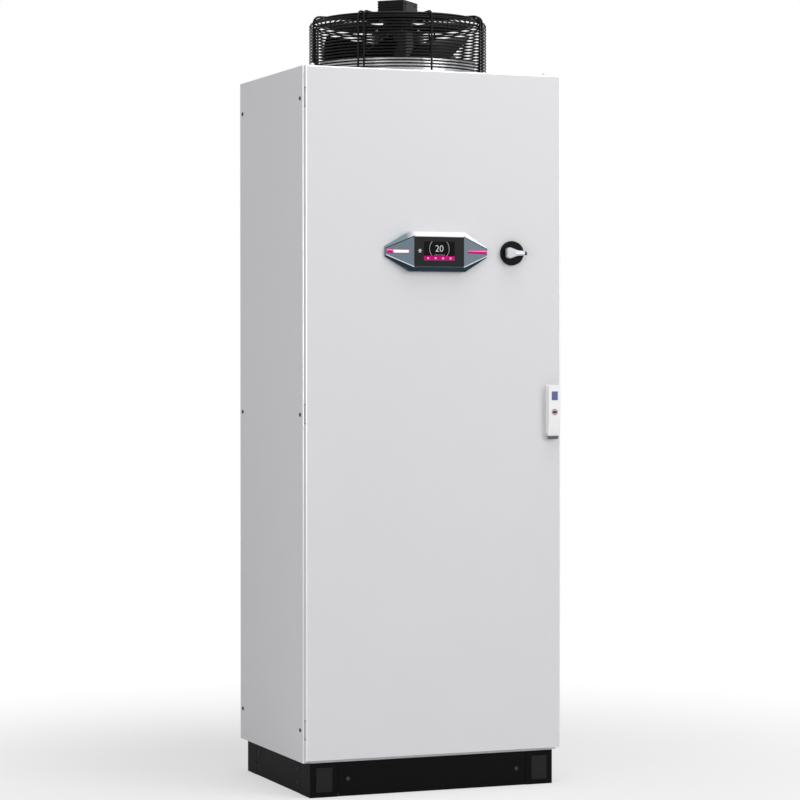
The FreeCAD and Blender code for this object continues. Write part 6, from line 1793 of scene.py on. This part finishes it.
class CHILLER_OT_water(bpy.types.Operator):
    """Tank with its cap, pump, finned motor and water lines"""

    bl_idname = "chiller.water"
    bl_label = "Water circuit"

    def execute(self, context):
        soften_all(WATER_EDGES)
        self.motor()
        self.cap()
        return {"FINISHED"}

    def motor(self):
        """Build the motor's ribbed barrel, its fan cover and the terminal box."""
        low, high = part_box("pump_motor")
        radius = (high.x - low.x) / 2
        middle = Vector(((low.x + high.x) / 2, high.y - radius, 0))
        core = radius * 0.88
        cover = high.z - radius * 0.7
        motor = spun(
            [
                (0.0, low.z),
                (core, low.z),
                (core, cover),
                (radius, cover + 0.004),
                (radius, high.z - 0.012),
                (radius * 0.86, high.z),
                (0.0, high.z),
            ],
            64,
            width=0.002,
        )
        half_rib = 0.0013
        rib = block(
            (core - 0.002, -half_rib, low.z + 0.012), (radius, half_rib, cover - 0.004), 0.0006, 1
        )
        set_round(motor, rib, 32)
        moved(motor, Matrix.Translation(middle))
        half = 0.04
        centre_z = low.z + (high.z - low.z) * 0.4
        box = block(
            (middle.x - half, low.y, centre_z - half), (middle.x + half, middle.y, centre_z + half), 0.004, 3
        )
        join_into(motor, box)
        finish_piece("ribbed_motor", motor, "cabinet", "Motor paint", ("pump_motor",))

    def cap(self):
        """Build the ribbed filler cap."""
        low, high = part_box("tank_cap")
        radius = (high.x - low.x) / 2
        middle = Vector(((low.x + high.x) / 2, (low.y + high.y) / 2, 0))
        half_rib = 0.0018
        cap = cylinder(radius * 0.94, low.z, high.z, 48, 0.003)
        rib = block(
            (radius * 0.9, -half_rib, low.z + 0.002), (radius, half_rib, high.z - 0.004), 0.0008, 1
        )
        set_round(cap, rib, 20)
        moved(cap, Matrix.Translation(middle))
        finish_piece("ribbed_cap", cap, "tank_cap", "Black plastic", ("tank_cap",))


class CHILLER_OT_stage(bpy.types.Operator):
    """White floor, light from all round, three lamps and the camera"""

    bl_idname = "chiller.stage"
    bl_label = "Stage"

    def execute(self, context):
        stage = context.scene.chiller_stage
        self.floor()
        self.world(stage.ambient)
        middle = (0.0, 0.0, 1.2)
        upper = (0.0, 0.0, 1.6)
        self.lamp("key", (3.4, -5.2, 3.4), middle, 4.0, stage.key_power)
        self.lamp("fill", (-4.5, -3.2, 1.6), middle, 1.6, stage.fill_power)
        self.lamp("top", (0.4, -1.7, 5.2), upper, 2.4, stage.top_power)
        camera = bpy.data.cameras.new("camera")
        camera.lens = stage.lens
        camera.sensor_width = 36.0
        camera.clip_end = 60.0
        viewer = bpy.data.objects.new("camera", camera)
        context.scene.collection.objects.link(viewer)
        turn = stage.azimuth
        viewer.location = (
            math.sin(turn) * stage.distance,
            -math.cos(turn) * stage.distance,
            stage.height,
        )
        viewer.rotation_euler = (math.pi / 2 + stage.tilt, 0.0, turn + stage.pan)
        context.scene.camera = viewer
        context.scene.view_settings.view_transform = "Standard"
        return {"FINISHED"}

    def floor(self):
        """Lay a floor that takes shadows near the object and fades to white round it."""
        bm = bmesh.new()
        bmesh.ops.create_grid(bm, x_segments=1, y_segments=1, size=40.0)
        mesh = bpy.data.meshes.new("floor")
        bm.to_mesh(mesh)
        bm.free()
        floor = bpy.data.objects.new("floor", mesh)
        bpy.context.scene.collection.objects.link(floor)
        material, tree, shader = new_material("Floor")
        shader.inputs["Base Color"].default_value = (0.9, 0.9, 0.9, 1.0)
        shader.inputs["Roughness"].default_value = 0.9
        shader.inputs["Specular IOR Level"].default_value = 0.0
        white = tree.nodes.new("ShaderNodeEmission")
        rays = tree.nodes.new("ShaderNodeLightPath")
        away = tree.nodes.new("ShaderNodeVectorMath")
        away.operation = "LENGTH"
        tree.links.new(object_coordinates(tree), away.inputs[0])
        fade = tree.nodes.new("ShaderNodeMapRange")
        fade.interpolation_type = "SMOOTHSTEP"
        fade_start, fade_end = 0.6, 2.6
        fade.inputs["From Min"].default_value = fade_start
        fade.inputs["From Max"].default_value = fade_end
        fade.inputs["To Min"].default_value = 0.5
        tree.links.new(away.outputs["Value"], fade.inputs["Value"])
        seen = calculate(tree, "MULTIPLY", rays.outputs["Is Camera Ray"], fade.outputs[0])
        blend = tree.nodes.new("ShaderNodeMixShader")
        tree.links.new(seen, blend.inputs[0])
        tree.links.new(shader.outputs[0], blend.inputs[1])
        tree.links.new(white.outputs[0], blend.inputs[2])
        tree.links.new(blend.outputs[0], tree.nodes["Material Output"].inputs["Surface"])
        mesh.materials.append(material)

    def world(self, ambient):
        """Light from all round, and show the camera and mirrors plain white."""
        world = bpy.data.worlds.new("studio")
        world.use_nodes = True
        tree = world.node_tree
        around = tree.nodes["Background"]
        around.inputs["Color"].default_value = (1.0, 1.0, 1.0, 1.0)
        around.inputs["Strength"].default_value = ambient
        white = tree.nodes.new("ShaderNodeBackground")
        white.inputs["Color"].default_value = (1.0, 1.0, 1.0, 1.0)
        rays = tree.nodes.new("ShaderNodeLightPath")
        shown = calculate(tree, "MAXIMUM", rays.outputs["Is Camera Ray"], rays.outputs["Is Glossy Ray"])
        shown = calculate(tree, "MAXIMUM", shown, rays.outputs["Is Transmission Ray"])
        blend = tree.nodes.new("ShaderNodeMixShader")
        tree.links.new(shown, blend.inputs[0])
        tree.links.new(around.outputs[0], blend.inputs[1])
        tree.links.new(white.outputs[0], blend.inputs[2])
        tree.links.new(blend.outputs[0], tree.nodes["World Output"].inputs["Surface"])
        bpy.context.scene.world = world

    def lamp(self, name, place, target, size, power):
        """Hang a round lamp that points at a target."""
        light = bpy.data.lights.new(name, "AREA")
        light.shape = "DISK"
        light.size = size
        light.energy = power
        lamp = bpy.data.objects.new(name, light)
        bpy.context.scene.collection.objects.link(lamp)
        lamp.location = place
        lamp.rotation_euler = (Vector(target) - Vector(place)).to_track_quat("-Z", "Y").to_euler()


PIECE_OPERATORS = (
    CHILLER_OT_finishes,
    CHILLER_OT_skin,
    CHILLER_OT_skin_fasteners,
    CHILLER_OT_plinth,
    CHILLER_OT_fan_guard,
    CHILLER_OT_fan_nozzle,
    CHILLER_OT_fan_motor,
    CHILLER_OT_fan_rotor,
    CHILLER_OT_operating_panel,
    CHILLER_OT_display,
    CHILLER_OT_main_switch,
    CHILLER_OT_handle,
    CHILLER_OT_water_ports,
    CHILLER_OT_frame,
    CHILLER_OT_door_fittings,
    CHILLER_OT_electrical,
    CHILLER_OT_cooling,
    CHILLER_OT_water,
    CHILLER_OT_stage,
)
SETTINGS = {
    "chiller_coat": CoatSettings,
    "chiller_fan": FanSettings,
    "chiller_panel": PanelSettings,
    "chiller_stage": StageSettings,
}


class CHILLER_PT_sidebar(bpy.types.Panel):
    """Lists the settings and the steps of the chiller"""

    bl_idname = "CHILLER_PT_sidebar"
    bl_label = "Cabinet chiller"
    bl_space_type = "VIEW_3D"
    bl_region_type = "UI"
    bl_category = "Chiller"

    def draw(self, context):
        layout = self.layout
        for name in SETTINGS:
            settings = getattr(context.scene, name)
            box = layout.box()
            for key in settings.bl_rna.properties.keys():
                if key not in {"rna_type", "name"}:
                    box.prop(settings, key)
        for operator in PIECE_OPERATORS:
            layout.operator(operator.bl_idname)


CLASSES = (*SETTINGS.values(), *PIECE_OPERATORS, CHILLER_PT_sidebar)


def register():
    for item in CLASSES:
        bpy.utils.register_class(item)
    for name, group in SETTINGS.items():
        setattr(bpy.types.Scene, name, bpy.props.PointerProperty(type=group))


def unregister():
    for name in SETTINGS:
        delattr(bpy.types.Scene, name)
    for item in reversed(CLASSES):
        bpy.utils.unregister_class(item)


def main():
    register()
    bpy.ops.chiller.finishes()
    bpy.ops.chiller.skin()
    bpy.ops.chiller.skin_fasteners()
    bpy.ops.chiller.plinth()
    bpy.ops.chiller.fan_guard()
    bpy.ops.chiller.fan_nozzle()
    bpy.ops.chiller.fan_motor()
    bpy.ops.chiller.fan_rotor()
    bpy.ops.chiller.operating_panel()
    bpy.ops.chiller.display()
    bpy.ops.chiller.main_switch()
    bpy.ops.chiller.handle()
    bpy.ops.chiller.water_ports()
    bpy.ops.chiller.frame()
    bpy.ops.chiller.door_fittings()
    bpy.ops.chiller.electrical()
    bpy.ops.chiller.cooling()
    bpy.ops.chiller.water()
    bpy.ops.chiller.stage()


if __name__ == "__main__":
    main()
